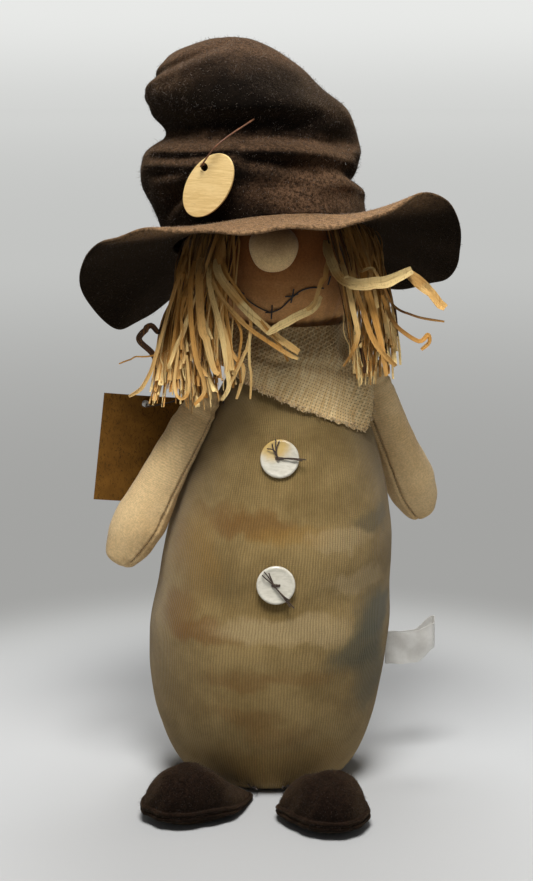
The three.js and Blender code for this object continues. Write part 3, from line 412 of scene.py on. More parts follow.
class Look:
    """A material or world under construction: each call adds a node and gives its output."""

    def __init__(self, name, kept_in=bpy.data.materials):
        self.made = kept_in.new(name)
        self.made.use_nodes = True
        self.tree = self.made.node_tree
        self.tree.nodes.clear()

    def node(self, kind, inputs=None, **settings):
        node = self.tree.nodes.new(kind)
        for key, value in settings.items():
            setattr(node, key, value)
        for key, value in (inputs or {}).items():
            if isinstance(value, bpy.types.NodeSocket):
                self.tree.links.new(value, node.inputs[key])
            else:
                node.inputs[key].default_value = value
        return node

    def place(self, kind="Object"):
        return self.node("ShaderNodeTexCoord").outputs[kind]

    def scaled(self, vector, scale):
        return self.node("ShaderNodeVectorMath", {0: vector, 1: scale}, operation="MULTIPLY").outputs[0]

    def split(self, vector):
        return self.node("ShaderNodeSeparateXYZ", {0: vector}).outputs

    def calc(self, operation, *values):
        return self.node("ShaderNodeMath", dict(enumerate(values)), operation=operation).outputs[0]

    def wave(self, value, count):
        """A wave between 0 and 1, with a number of waves for each unit of the value."""
        turned = self.calc("SINE", self.calc("MULTIPLY", value, 2 * math.pi * count))
        return self.calc("MULTIPLY_ADD", turned, 0.5, 0.5)

    def noise(self, vector, scale, detail=3.0, rough=0.55, distortion=0.0):
        sockets = {"Vector": vector, "Scale": scale, "Detail": detail, "Roughness": rough}
        return self.node("ShaderNodeTexNoise", sockets | {"Distortion": distortion}).outputs["Fac"]

    def span(self, value, low, high, to_low=0.0, to_high=1.0):
        sockets = {0: value, 1: low, 2: high, 3: to_low, 4: to_high}
        return self.node("ShaderNodeMapRange", sockets, interpolation_type="SMOOTHSTEP").outputs[0]

    def mix(self, share, first, second, mode="MIX"):
        node = self.node("ShaderNodeMix", {0: share, 6: first, 7: second}, data_type="RGBA", blend_type=mode)
        return node.outputs[2]

    def shaded(self, base, shade):
        """A colour made darker or lighter by a number."""
        grey = self.node("ShaderNodeCombineColor", {0: shade, 1: shade, 2: shade}).outputs[0]
        return self.mix(1.0, base, grey, "MULTIPLY")

    def tint(self, base, value, low, high, second, share=1.0):
        """A colour that turns into a share of a second one, as a value goes from low to high."""
        return self.mix(self.span(value, low, high, 0.0, share), base, second)

    def blots(self, base, ragged, spots):
        """A colour with stains: each has a point and a size in millimetres, a tint and a weight."""
        for point, size, tint, weight in spots:
            mask = self.spot(ragged, [c * MM for c in point], [c * MM for c in size])
            base = self.mix(self.calc("MULTIPLY", mask, weight), base, tint)
        return base

    def rise(self):
        """The height on the object, in metres."""
        return self.split(self.place())[2]

    def attribute(self, name):
        return self.node("ShaderNodeAttribute", attribute_name=name).outputs["Fac"]

    def warped(self, scale, reach):
        """Places moved about by a cloudy noise, so that what is drawn there gets ragged edges."""
        sockets = {"Vector": self.place(), "Scale": scale, "Detail": 5.0, "Roughness": 0.62}
        cloud = self.node("ShaderNodeTexNoise", sockets).outputs["Color"]
        shift = self.between((0.5, 0.5, 0.5), cloud)
        moved = {0: self.place(), 1: self.scaled(shift, (reach, reach, reach))}
        return self.node("ShaderNodeVectorMath", moved, operation="ADD").outputs[0]

    def between(self, start, end):
        return self.node("ShaderNodeVectorMath", {0: end, 1: start}, operation="SUBTRACT").outputs[0]

    def spot(self, where, point, size):
        """A soft mask round a point."""
        shape = self.scaled(self.between(point, where), [1 / s for s in size])
        far = self.node("ShaderNodeVectorMath", {0: shape}, operation="LENGTH").outputs["Value"]
        return self.span(far, 1.2, 0.45)

    def bump(self, height, distance, strength):
        sockets = {"Height": height, "Distance": distance, "Strength": strength}
        return self.node("ShaderNodeBump", sockets).outputs[0]

    def surface(self, base, rough, normal=None, **sockets):
        inputs = {"Base Color": base, "Roughness": rough}
        if normal is not None:
            inputs["Normal"] = normal
        for key, value in sockets.items():
            inputs[key.replace("_", " ").title().replace("Ior", "IOR")] = value
        return self.node("ShaderNodeBsdfPrincipled", inputs).outputs[0]

    def seen(self):
        """1 for rays from the camera, mirrors and glass, 0 for the light that bounces about."""
        rays = self.node("ShaderNodeLightPath").outputs
        bent = self.calc("MAXIMUM", rays["Is Glossy Ray"], rays["Is Transmission Ray"])
        return self.calc("MAXIMUM", rays["Is Camera Ray"], bent)

    def joined(self, share, first, second):
        return self.node("ShaderNodeMixShader", {0: share, 1: first, 2: second}).outputs[0]

    def show(self, shader, output="ShaderNodeOutputMaterial"):
        """Ends the work: the shader goes to the output, and the material or world is given back."""
        self.tree.links.new(shader, self.node(output).inputs[0])
        return self.made

    def finish(self, base, rough, normal=None, **sockets):
        return self.show(self.surface(base, rough, normal, **sockets))


RIBS, COURSES = 250, 300
RUSTY, GOLD = colour(117, 81, 34), colour(146, 112, 56)
MOSS, PALE = colour(76, 75, 58), colour(182, 160, 118)

# Stains on the body: azimuth, height, size, tint and weight
KNIT_STAINS = [
    (-16, 164, (32, 24, 8), RUSTY, 0.7), (-34, 170, (26, 20, 7), RUSTY, 0.4),
    (6, 159, (26, 20, 7), GOLD, 0.6), (30, 156, (28, 20, 7), PALE, 0.4),
    (-46, 142, (18, 32, 30), GOLD, 0.5), (-54, 110, (18, 18, 14), RUSTY, 0.55),
    (-36, 103, (20, 16, 8), RUSTY, 0.75), (-22, 98, (18, 14, 6), RUSTY, 0.4),
    (4, 104, (50, 28, 9), PALE, 0.5), (18, 76, (24, 16, 8), RUSTY, 0.35),
    (-11, 75, (24, 16, 7), RUSTY, 0.45), (-9, 53, (24, 16, 8), RUSTY, 0.4),
    (8, 43, (26, 16, 8), RUSTY, 0.35), (6, 18, (60, 36, 20), GOLD, 0.5),
    (44, 130, (28, 24, 8), PALE, 0.4), (52, 164, (18, 16, 8), MOSS, 0.45),
    (58, 107, (20, 26, 16), MOSS, 0.8), (48, 88, (24, 26, 18), MOSS, 0.75),
    (60, 68, (18, 24, 20), MOSS, 0.6), (150, 150, (24, 24, 18), MOSS, 0.6),
    (210, 90, (30, 30, 14), RUSTY, 0.6), (180, 190, (30, 20, 10), PALE, 0.5),
    (120, 60, (22, 26, 14), RUSTY, 0.5), (265, 130, (20, 24, 14), RUSTY, 0.5),
]


def knit_look():
    """Ribbed knit, dyed unevenly and stained."""
    look = Look("knit")
    where = look.place()
    u, v, _ = look.split(look.place("UV"))
    rib = look.wave(look.calc("MULTIPLY_ADD", look.noise(where, 160, 2), 0.003, u), RIBS)
    course = look.wave(v, COURSES)
    yarn = look.noise(where, 1500, 2)
    broad = look.noise(where, 22, 6, 0.65)
    base = look.tint(colour(124, 101, 58), broad, 0.36, 0.66, colour(151, 127, 81))
    spots = [(body_surface(azimuth, z), size, tint, weight) for azimuth, z, size, tint, weight in KNIT_STAINS]
    base = look.blots(base, look.warped(36, 0.034), spots)
    # Painted shade in the grooves between the ribs.
    groove = look.span(rib, 0.0, 0.55, 0.76, 1.04)
    base = look.shaded(base, look.calc("MULTIPLY", groove, look.span(yarn, 0.3, 0.7, 0.9, 1.08)))
    height = look.calc("ADD", rib, look.calc("MULTIPLY", look.calc("ADD", course, yarn), 0.22))
    return look.finish(base, 0.92, look.bump(height, 0.0004, 0.75), sheen_weight=0.12, sheen_roughness=0.5,
                       specular_ior_level=0.2)


def muslin_look(name, around_count, along_count, light, dark, shadow=None):
    """Plain woven cotton, tea dyed. Shadow gives two heights between which it turns to a tint."""
    look = Look(name)
    where = look.place()
    u, v, _ = look.split(look.place("UV"))
    slub = look.noise(where, 420, 2)
    warp = look.wave(look.calc("MULTIPLY_ADD", slub, 0.004, u), around_count)
    weft = look.wave(look.calc("MULTIPLY_ADD", slub, 0.004, v), along_count)
    weave = look.calc("MAXIMUM", warp, weft)
    stain = look.noise(where, 26, 5, 0.65)
    fleck = look.noise(where, 900, 3, 0.7)
    base = look.tint(light, stain, 0.35, 0.7, dark)
    # Painted shade: from the shadow's lower height up to its upper one, the cloth turns to its tint.
    if shadow is not None:
        base = look.tint(base, look.calc("MULTIPLY_ADD", stain, 0.01, look.rise()), *shadow)
    # Painted shade between the threads of the weave.
    thread = look.span(weave, 0.1, 0.8, 0.8, 1.02)
    base = look.shaded(base, look.calc("MULTIPLY", thread, look.span(fleck, 0.3, 0.7, 0.82, 1.1)))
    height = look.calc("MULTIPLY_ADD", fleck, 0.5, weave)
    return look.finish(base, 0.9, look.bump(height, 0.00022, 0.6), sheen_weight=0.1, specular_ior_level=0.2)


def felt_look(name, light, dark, spots=(), tuft_shades=(0.45, 1.8)):
    """Wool felt: matted tufts on a dark ground, painted light facing up, painted shade facing down, and
    tinted spots.
    """
    look = Look(name)
    where = look.place()
    matted = look.noise(where, 420, 5, 0.75, 0.3)
    patch = look.noise(where, 60, 4, 0.6)
    tufts = look.noise(where, 800, 4, 0.7, 0.8)
    up = look.split(look.node("ShaderNodeNewGeometry").outputs["Normal"])[2]
    # Painted light and shade: the felt turns from its dark to its light colour as it faces further up, with
    # cloudy patches.
    base = look.tint(dark, look.calc("MULTIPLY_ADD", patch, 0.6, up), -0.05, 1.2, light)
    base = look.blots(base, look.warped(60, 0.02), spots)
    base = look.tint(base, matted, 0.54, 0.4, dark, 0.6)
    base = look.shaded(base, look.span(tufts, 0.36, 0.64, *tuft_shades))
    height = look.calc("MULTIPLY_ADD", tufts, 0.6, matted)
    return look.finish(base, 1.0, look.bump(height, 0.0012, 0.9), sheen_weight=0.16, sheen_roughness=0.4,
                       sheen_tint=colour(206, 168, 128), specular_ior_level=0.05)


def fibre_look(name, first, second, sheen=0.3):
    """Loose fibres and threads, each of its own shade."""
    look = Look(name)
    base = look.mix(look.attribute("tone"), first, second)
    base = look.tint(base, look.noise(look.place(), 900, 2), 0.3, 0.7, second, 0.35)
    return look.finish(base, 0.8, sheen_weight=sheen, specular_ior_level=0.2)


def raffia_look():
    """Dry raffia: streaks along each strip, dark brown to pale straw by its tone, and painted shade at the
    roots.
    """
    look = Look("raffia")
    tone = look.attribute("tone")
    run = look.scaled(look.place("UV"), (5, 1.2, 1))
    own = look.scaled(look.place(), (60, 60, 12))
    shifted = look.node("ShaderNodeVectorMath", {0: run, 1: own}, operation="ADD").outputs[0]
    streak = look.noise(shifted, 2.2, 5, 0.75)
    fine = look.noise(look.scaled(look.place(), (1100, 1100, 110)), 1, 2)
    base = look.tint(colour(44, 22, 6), tone, 0.0, 0.5, colour(216, 158, 80))
    base = look.tint(base, tone, 0.5, 1.0, colour(254, 223, 154))
    base = look.tint(base, streak, 0.5, 0.68, colour(150, 92, 32), 0.5)
    base = look.tint(base, streak, 0.44, 0.26, colour(250, 218, 150), 0.5)
    base = look.tint(base, fine, 0.55, 0.7, colour(150, 100, 44), 0.35)
    # Painted shade under the hat: darker towards the top, where the roots are.
    base = look.shaded(base, look.span(look.rise(), 0.288, 0.322, 1.0, 0.42))
    height = look.calc("MULTIPLY_ADD", fine, 0.5, streak)
    return look.finish(base, 0.62, look.bump(height, 0.0006, 0.8), specular_ior_level=0.25)


def burlap_look():
    """Coarse jute weave, with painted shade in its gaps and towards the top. UV counts the threads each way.
    """
    look = Look("burlap")
    threads = look.place("UV")
    u, v, _ = look.split(threads)
    between_warp = look.wave(look.calc("SUBTRACT", u, 0.25), 1)
    between_weft = look.wave(look.calc("SUBTRACT", v, 0.25), 1)
    gap = look.calc("MULTIPLY", between_warp, between_weft)
    warp_tone = look.noise(look.scaled(threads, (0.9, 0.14, 1)), 1.0, 2)
    weft_tone = look.noise(look.scaled(threads, (0.14, 0.9, 1)), 1.0, 2)
    fray = look.noise(look.place(), 1300, 3, 0.7)
    base = look.tint(colour(226, 190, 132), warp_tone, 0.3, 0.7, colour(248, 222, 170))
    base = look.tint(base, weft_tone, 0.5, 0.75, colour(202, 162, 104), 0.35)
    base = look.tint(base, fray, 0.55, 0.8, colour(244, 226, 190), 0.5)
    # Painted shade in the gaps of the weave.
    base = look.tint(base, gap, 0.45, 0.9, colour(92, 68, 38), 0.65)
    # Painted light and shade: a little lighter at the bottom and darker towards the top, under the hat's
    # brim.
    base = look.shaded(base, look.span(look.rise(), 0.22, 0.262, 1.05, 0.52))
    return look.finish(base, 0.9, look.bump(fray, 0.0006, 0.7), sheen_weight=0.1, specular_ior_level=0.2)


def thread_look(name, base, light):
    """Twisted thread."""
    look = Look(name)
    u, v, _ = look.split(look.place("UV"))
    twist = look.wave(look.calc("ADD", u, look.calc("MULTIPLY", v, 60)), 2)
    fuzzy = look.noise(look.place(), 1600, 3)
    tint = look.mix(look.calc("MULTIPLY", twist, fuzzy), base, light)
    uneven_twist = look.bump(look.calc("MULTIPLY_ADD", fuzzy, 0.4, twist), 0.00012, 0.8)
    return look.finish(tint, 0.7, uneven_twist, sheen_weight=0.1)


def shell_look():
    """Polished pearl shell with faint growth lines and a yellow patch on the upper button."""
    look = Look("shell")
    bands = look.noise(look.scaled(look.place(), (1, 1, 3)), 160, 3, 0.6, 1.2)
    base = look.tint(colour(218, 212, 196), bands, 0.35, 0.7, colour(200, 194, 176))
    patch = ((4, -52, 209), (11, 20, 9), colour(206, 170, 88), 0.9)
    base = look.blots(base, look.warped(160, 0.006), [patch])
    return look.finish(base, look.span(bands, 0.3, 0.7, 0.12, 0.24), look.bump(bands, 0.0001, 0.08),
                       coat_weight=0.5, coat_roughness=0.08, specular_ior_level=0.5)


def wood_look():
    """Thin sanded wood with fine grain and pores."""
    look = Look("tag_wood")
    where = look.place()
    grain = look.noise(look.scaled(where, (90, 90, 900)), 1, 4, 0.65, 0.4)
    pores = look.noise(look.scaled(where, (500, 500, 2600)), 1, 2)
    base = look.tint(colour(232, 202, 142), grain, 0.3, 0.7, colour(212, 178, 116))
    base = look.tint(base, pores, 0.62, 0.78, colour(140, 102, 58), 0.5)
    rough = look.span(grain, 0.3, 0.7, 0.5, 0.66)
    return look.finish(base, rough, look.bump(pores, 0.0002, 0.5), specular_ior_level=0.35)


def kraft_look():
    """Brown card with flecks of fibre."""
    look = Look("kraft_card")
    where = look.place()
    fleck = look.noise(look.scaled(where, (1, 1, 0.5)), 900, 4, 0.7, 1.0)
    cloud = look.noise(where, 90, 4, 0.6)
    base = look.tint(colour(112, 74, 20), cloud, 0.3, 0.7, colour(132, 90, 30))
    base = look.tint(base, fleck, 0.5, 0.66, colour(62, 38, 12), 0.75)
    return look.finish(base, 0.85, look.bump(fleck, 0.0002, 0.5), specular_ior_level=0.25)


def satin_look():
    """Woven satin ribbon."""
    look = Look("satin")
    u, v, _ = look.split(look.place("UV"))
    weft = look.wave(v, 90)
    warp = look.wave(u, 140)
    soft = look.noise(look.place(), 120, 3)
    base = look.tint(colour(214, 212, 206), soft, 0.3, 0.7, colour(196, 193, 186))
    weave = look.bump(look.calc("MULTIPLY_ADD", warp, 0.4, weft), 0.0001, 0.5)
    return look.finish(base, look.span(weft, 0.0, 1.0, 0.4, 0.55), weave, sheen_weight=0.2)


def plastic_look():
    """Moulded plastic, a little cloudy."""
    look = Look("lock_plastic")
    cloud = look.noise(look.place(), 700, 3)
    base = look.tint(colour(228, 226, 220), cloud, 0.3, 0.7, colour(206, 204, 198))
    return look.finish(base, look.span(cloud, 0.3, 0.7, 0.3, 0.45), look.bump(cloud, 0.0001, 0.3))


def rust_look():
    """Thin wire with patches of rust."""
    look = Look("wire")
    patch = look.noise(look.place(), 500, 4, 0.7)
    base = look.tint(colour(70, 44, 30), patch, 0.35, 0.65, colour(128, 84, 56))
    rough = look.span(patch, 0.35, 0.65, 0.45, 0.75)
    return look.finish(base, rough, look.bump(patch, 0.0002, 0.6), metallic=0.4)


BACKDROP_DARK, BACKDROP_FAR = colour(163, 163, 161), colour(210, 211, 209)


def floor_look():
    """Pale floor that takes the doll's shadow near it, and further away a backdrop of its own light, with
    painted shade behind the doll.
    """
    look = Look("floor")
    where = look.place()
    far = look.node("ShaderNodeVectorMath", {0: where}, operation="LENGTH").outputs["Value"]
    near = look.tint(colour(186, 187, 187), look.noise(where, 1.6, 2), 0.3, 0.7, colour(190, 190, 189))
    plain = look.surface(near, 0.8, specular_ior_level=0.15)
    _, behind, _ = look.split(where)
    # Painted shade on the backdrop behind the doll.
    shady = look.calc("MULTIPLY", look.span(far, 0.22, 0.42), look.span(behind, -0.3, 0.2))
    tint = look.mix(shady, colour(208, 209, 207), BACKDROP_DARK)
    tint = look.tint(tint, far, 0.5, 2.8, colour(194, 195, 193))
    tint = look.tint(tint, far, 1.6, 11.0, BACKDROP_FAR)
    even = look.node("ShaderNodeEmission", {"Color": tint, "Strength": 1.0}).outputs[0]
    share = look.calc("MULTIPLY", look.span(far, 0.2, 0.38), look.seen())
    return look.show(look.joined(share, plain, even))


def world_look():
    """Weak even light, seen as a pale backdrop that gets lighter upwards."""
    look = Look("world", bpy.data.worlds)
    _, _, up = look.split(look.place("Generated"))
    tint = look.tint(BACKDROP_FAR, up, -0.04, 0.02, colour(232, 233, 231))
    seen = look.node("ShaderNodeBackground", {"Color": tint, "Strength": 1.0}).outputs[0]
    fill = look.node("ShaderNodeBackground", {"Color": (1, 1, 1, 1), "Strength": 0.12}).outputs[0]
    return look.show(look.joined(look.seen(), fill, seen), "ShaderNodeOutputWorld")


PALER_FELT, PAINTED_SHADE = colour(90, 68, 50), colour(4, 3, 2)
# Paler places of the hat, and painted shade where its hollows lie in shadow: point, size, tint and weight
CROWN_SPOTS = [
    ((28, -48, 351), (46, 34, 16), PALER_FELT, 0.85), ((-44, -40, 350), (26, 26, 14), PALER_FELT, 0.15),
    ((36, -44, 373), (30, 30, 8), PALER_FELT, 0.4), ((-6, -50, 402), (58, 42, 18), PAINTED_SHADE, 0.95),
    ((-16, -44, 416), (44, 30, 12), PAINTED_SHADE, 0.65), ((36, -34, 406), (38, 38, 18), PAINTED_SHADE, 0.8),
]
# Painted sheen on the front of the brim, where its fuzz catches the light: point, size, tint and weight
BRIM_PAINTED_SHEEN = [((8, -84, 338), (120, 56, 40), colour(132, 103, 74), 0.95)]

knit = knit_look()
arm_muslin = muslin_look("muslin_arm", 130, 190, colour(228, 197, 146), colour(212, 178, 126))
# The head and the nose get painted shade under the hat's brim, darker towards the top.
head_muslin = muslin_look("muslin_head", 400, 230, colour(214, 162, 104), colour(190, 136, 80),
                          (0.284, 0.322, colour(122, 72, 30)))
nose_muslin = muslin_look("muslin_nose", 70, 46, colour(222, 190, 138), colour(200, 164, 112),
                          (0.312, 0.338, colour(112, 84, 54)))
felt = felt_look("felt", colour(66, 49, 35), colour(14, 10, 7), CROWN_SPOTS)
# A copy of the felt for the brim: painted shade makes it nearly black where it faces down, under the brim.
brim_felt = felt_look("felt_brim", colour(74, 56, 41), colour(6, 4, 2), BRIM_PAINTED_SHEEN, (0.6, 1.55))
# Darker copies of the felt and of its nap for the feet: the extra darkness is painted shade under the belly.
foot_felt = felt_look("felt_foot", colour(30, 20, 14), colour(11, 7, 5))
nap = fibre_look("nap", colour(16, 11, 7), colour(84, 63, 46))
foot_nap = fibre_look("nap_foot", colour(10, 7, 5), colour(46, 32, 23), 0.1)
wisp = fibre_look("wisp", colour(36, 26, 18), colour(104, 80, 58))
# Paler nap for the front of the brim: painted sheen.
painted_sheen_nap = fibre_look("nap_painted_sheen", colour(84, 63, 44), colour(172, 138, 102))
jute = fibre_look("jute", colour(172, 142, 98), colour(222, 196, 152))
raffia = raffia_look()
burlap = burlap_look()
brown_thread = thread_look("brown_thread", colour(44, 30, 20), colour(92, 66, 44))
black_thread = thread_look("black_thread", colour(14, 11, 9), colour(40, 33, 28))
seam_thread = thread_look("seam_thread", colour(150, 122, 84), colour(216, 188, 142))
shell = shell_look()
wood = wood_look()
kraft = kraft_look()
satin = satin_look()
plastic = plastic_look()
rust = rust_look()


def dress(piece, material, body, slot, *nodes):
    """Gives a piece its material, the body it moves with and the solids it stands for; its finish's slot is
    not used.
    """
    piece.data.materials.append(material)
    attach(piece, body)
    if nodes:
        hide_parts(*nodes)
    return piece


# Camera: 1.1 m in front of the doll and 0.43 m up, looking a little down

CAMERA_AT = Vector((0.0, -1.1, 0.430))
CAMERA_AIM = Vector((0.0, 0.0, 0.202))
FOCAL_PX, PHOTO_H_PX, SENSOR = 1914.0, 881.0, 36.0
camera_data = bpy.data.cameras.new("camera")
camera_data.sensor_fit = "VERTICAL"
camera_data.sensor_height = SENSOR
camera_data.lens = FOCAL_PX * SENSOR / PHOTO_H_PX
camera = bpy.data.objects.new("camera", camera_data)
camera.location = CAMERA_AT
camera.rotation_euler = (CAMERA_AIM - CAMERA_AT).to_track_quat("-Z", "Y").to_euler()
bpy.context.scene.collection.objects.link(camera)
bpy.context.scene.camera = camera


# String of the card tag, from the shoulder to the card's hole

CARD_HOLE = np.array([-73.0, 26.0, 219.0])
CARD_TURN, CARD_TILT = 15.0, 6.7
CARD_OUT = heading(CARD_TURN)
CARD_T, LOCK_L, STRING_D = 0.7, 6.0, 0.9
LOCK_OUT = CARD_T + SEAT + LOCK_L / 2
PIN_AZIMUTH, PIN_Z = -100.0, 236.0


def over_card(out):
    """A point straight out from the top of the card's hole."""
    return CARD_HOLE + [0, 0, 0.85] + CARD_OUT * out


def make_string():
    pin = body_surface(PIN_AZIMUTH, PIN_Z)
    out = body_normal(PIN_AZIMUTH, PIN_Z)
    sag = pin * 0.45 + over_card(LOCK_OUT) * 0.55 - [0, 0, 3]
    route = [pin + out * 0.7, pin + out * 5, sag, over_card(LOCK_OUT + 9), over_card(LOCK_OUT + 3),
             over_card(1.0), over_card(-1.0)]
    path = curve(route, 40)
    string = dress(tubes("card_tag_string_yarn", [path], STRING_D / 2), brown_thread, "torso", "brown_thread",
                   "card_tag_string")
    lock_bead()


def lock_bead():
    angle = np.linspace(0, 2 * math.pi, 25)[:-1]
    profile = [(0.78, -3.0), (1.35, -2.75), (1.85, -1.9), (2.0, 0.0), (1.85, 1.9), (1.35, 2.75), (0.78, 3.0)]
    bore = [(0.75, 3.0), (0.75, -3.0)]
    side = np.array([CARD_OUT[1], -CARD_OUT[0], 0])
    ring = np.cos(angle)[:, None] * UP + np.sin(angle)[:, None] * side
    rows = [over_card(LOCK_OUT) + CARD_OUT * z + radius * ring for radius, z in profile + bore]
    bead = lattice("card_tag_lock_bead", np.array(rows), wrap=True)
    return dress(bead, plastic, "torso", "lock_plastic", "card_tag_lock")


make_string()


# Body

MOUTH_R = 18.4


def make_body():
    """The knit bag from the middle of its base to the mouth at the neck, with a dent at each button."""
    turn = np.linspace(0, math.pi / 2, 60)
    low = np.stack([BASE_R + (BELLY_R - BASE_R) * np.sin(turn), BELLY_Z * (1 - np.cos(turn))], 1)
    turn = np.linspace(0, math.acos((MOUTH_R + 0.06) / BELLY_R), 110)[1:]
    high = np.stack([BELLY_R * np.cos(turn), BELLY_Z + (BODY_TOP - BELLY_Z) * np.sin(turn)], 1)
    base = [(6, 0.0), (20, 0.0), (33, 0.0), (36.4, 0.15), (37.2, 0.9), (37.8, 0.15)]
    mouth = [(MOUTH_R, 255), (MOUTH_R, 251), (17.5, NECK_BOTTOM - 0.4), (8, NECK_BOTTOM - 0.4)]
    profile = np.vstack([base, low, high, mouth])
    azimuth = np.arange(-180, 180, 2.0)[None]
    radius, z = profile[:, :1], profile[:, 1:]
    spots = body_place(radius, azimuth, z)
    skin = smoothstep(z, 2, 14) * smoothstep(z, 250, 225)
    front = cosd(azimuth) * 0.5 + 0.5
    soft = 0.9 * wobble(spots, 90, 3) + 0.35 * wobble(spots, 32, 4)
    belly = front * (1.5 * bell(z, 92, 15) - 1.6 * bell(z, 121, 11) + 0.8 * bell(z, 150, 16))
    gather = 0.45 * np.cos(np.radians(34 * azimuth) + 2 * sind(3 * azimuth)) * bell(z, 6, 7)
    for x, height in BUTTON_SPOTS.values():
        away = np.hypot(np.radians(azimuth - azimuth_of(x, height)) * radius, z - height)
        soft = soft - 0.5 * bell(away, 0, 11) + 0.55 * bell(away, 19, 7)
    grown = radius + (soft + belly) * skin + gather * smoothstep(z, 0.5, 3)
    rows = body_place(grown, azimuth, z)
    body = lattice("body", rows)
    dress(body, knit, "torso", "knit", "body_cover", "base_panel", "body_filling", "pellet_pouch")


make_body()


# Head, nose and mouth

def make_head():
    turn = np.linspace(-math.acos(NECK_R / HEAD_R), math.pi / 2 - 0.02, 90)
    ball = np.stack([HEAD_R * np.cos(turn), HEAD_Z + HEAD_R * np.sin(turn)], 1)
    profile = np.vstack([[(NECK_R - 0.6, NECK_BOTTOM + 0.1), (NECK_R, NECK_BOTTOM + 1), (NECK_R, 256)], ball])
    azimuth = np.arange(-180, 180, 1.5)[None]
    radius, z = profile[:, :1], profile[:, 1:]
    centre = LEAN + (HEAD_X - LEAN) * smoothstep(z, NECK_EDGE, HEAD_Z)
    bunched = cosd(31 * azimuth + 60 * sind(2 * azimuth + 30))
    bunched = bunched + 0.6 * cosd(17 * azimuth + 80)
    pleats = 0.55 * bunched * smoothstep(z, 300, 274) * smoothstep(z, 262, 268)
    lumps = 0.5 * wobble(around(radius, azimuth, z), 60, 8) * smoothstep(z, 262, 285)
    rows = around(radius + pleats - 0.5 * (pleats != 0) + np.minimum(lumps, 0.2), azimuth, z, centre)
    head = lattice("head", rows)
    dress(head, head_muslin, "head", "muslin", "head_cover", "head_filling")


NOSE_R, NOSE_FLATTEN = 13.5, 0.75
NOSE_AZIMUTH, NOSE_RISE = -3.5, 9.0


def make_nose():
    turn = np.linspace(-math.pi / 2 + 0.03, math.pi / 2 - 0.03, 44)
    angle = np.radians(np.arange(0, 360, 3.0))[None]
    radius, out = (NOSE_R * np.cos(turn))[:, None], (NOSE_R * NOSE_FLATTEN * np.sin(turn))[:, None]
    pucker = 1 + 0.025 * np.cos(15 * angle + 1.5 * np.sin(2 * angle)) * smoothstep(out, 0, -5)
    lump = 1 + 0.018 * np.sin(3 * angle + 0.6) + 0.012 * np.sin(5 * angle)
    right = heading(NOSE_AZIMUTH + 90)
    forward = heading(NOSE_AZIMUTH)
    middle = face_point(NOSE_AZIMUTH, NOSE_RISE, NOSE_R * NOSE_FLATTEN * 0.3)
    wide = radius * pucker * lump
    rows = (middle + out[..., None] * forward + (wide * np.cos(angle))[..., None] * right
            + (wide * np.sin(angle))[..., None] * UP)
    nose = lattice("nose_ball", clear_of_head(rows, 0.35))
    dress(nose, nose_muslin, "head", "muslin", "nose")


def on_face(places, count, out=0.35):
    """A path over the face, through places of azimuth and height from the head's centre."""
    return np.array([face_point(azimuth, rise, out) for azimuth, rise in curve(places, count)])


def make_mouth():
    line = [(-24, -20), (-17, -24.5), (-8.5, -27.8), (-5, -28), (1.5, -25.6), (8, -20.2), (14, -15.8),
            (22, -14), (31, -14.8)]
    strokes = [on_face(line, 60)]
    for azimuth, rise, tall in ((-5.5, -28, 4.2), (9, -18.4, 4.0)):
        upright = [(azimuth - 0.8, rise - tall), (azimuth, rise), (azimuth + 0.5, rise + tall)]
        level = [(azimuth - 5, rise - 0.4), (azimuth, rise), (azimuth + 4, rise + 1.2)]
        strokes += [on_face(upright, 9, 0.8), on_face(level, 9, 0.6)]
    ends = [((-32, -13), (-24, -18)), ((34, -13), (35, -8)), ((33, -4), (37, 1)), ((40, 6), (41, 10))]
    strokes += [on_face(stitch, 6) for stitch in ends]
    mouth = tubes("mouth_stitches", strokes, 0.42)
    dress(mouth, black_thread, "head", "black_thread", "mouth_thread")


make_head()
make_nose()
make_mouth()


# Hat

# Crown from seam to tip: sideways shift, change of radius, height, shift to the front
CROWN_LINE = [
    (0, 0, 0, 0), (-5, 1.5, 14, 0), (-10.5, 4, 33, 0), (-10, 4, 47, 0), (-6, -3.7, 60.5, 2),
    (-11.5, -3, 71, 5), (-19, -8, 82, 7), (-22, -15.5, 93, 7), (-23.5, -27.5, 103, 6), (-22, -44, 110, 5),
    (-21, -52, 111.4, 5), (-20.5, -56, 111.8, 5),
]
CROWN_H = 110.0
CROWN_MIDDLE = np.array([HAT_X - 12.0, -2.0, 372.0])


def seam_tilt(azimuth):
    """How far the seam of crown and brim is tipped up at an azimuth."""
    return SEAM_TIP * cosd(azimuth) + SEAM_COCK * sind(azimuth)


def stretch_of(turned, low, high, soft):
    """1 between two azimuths, fading to 0 outside them."""
    return smoothstep(turned, low - soft, low + soft) * smoothstep(turned, high + soft, high - soft)


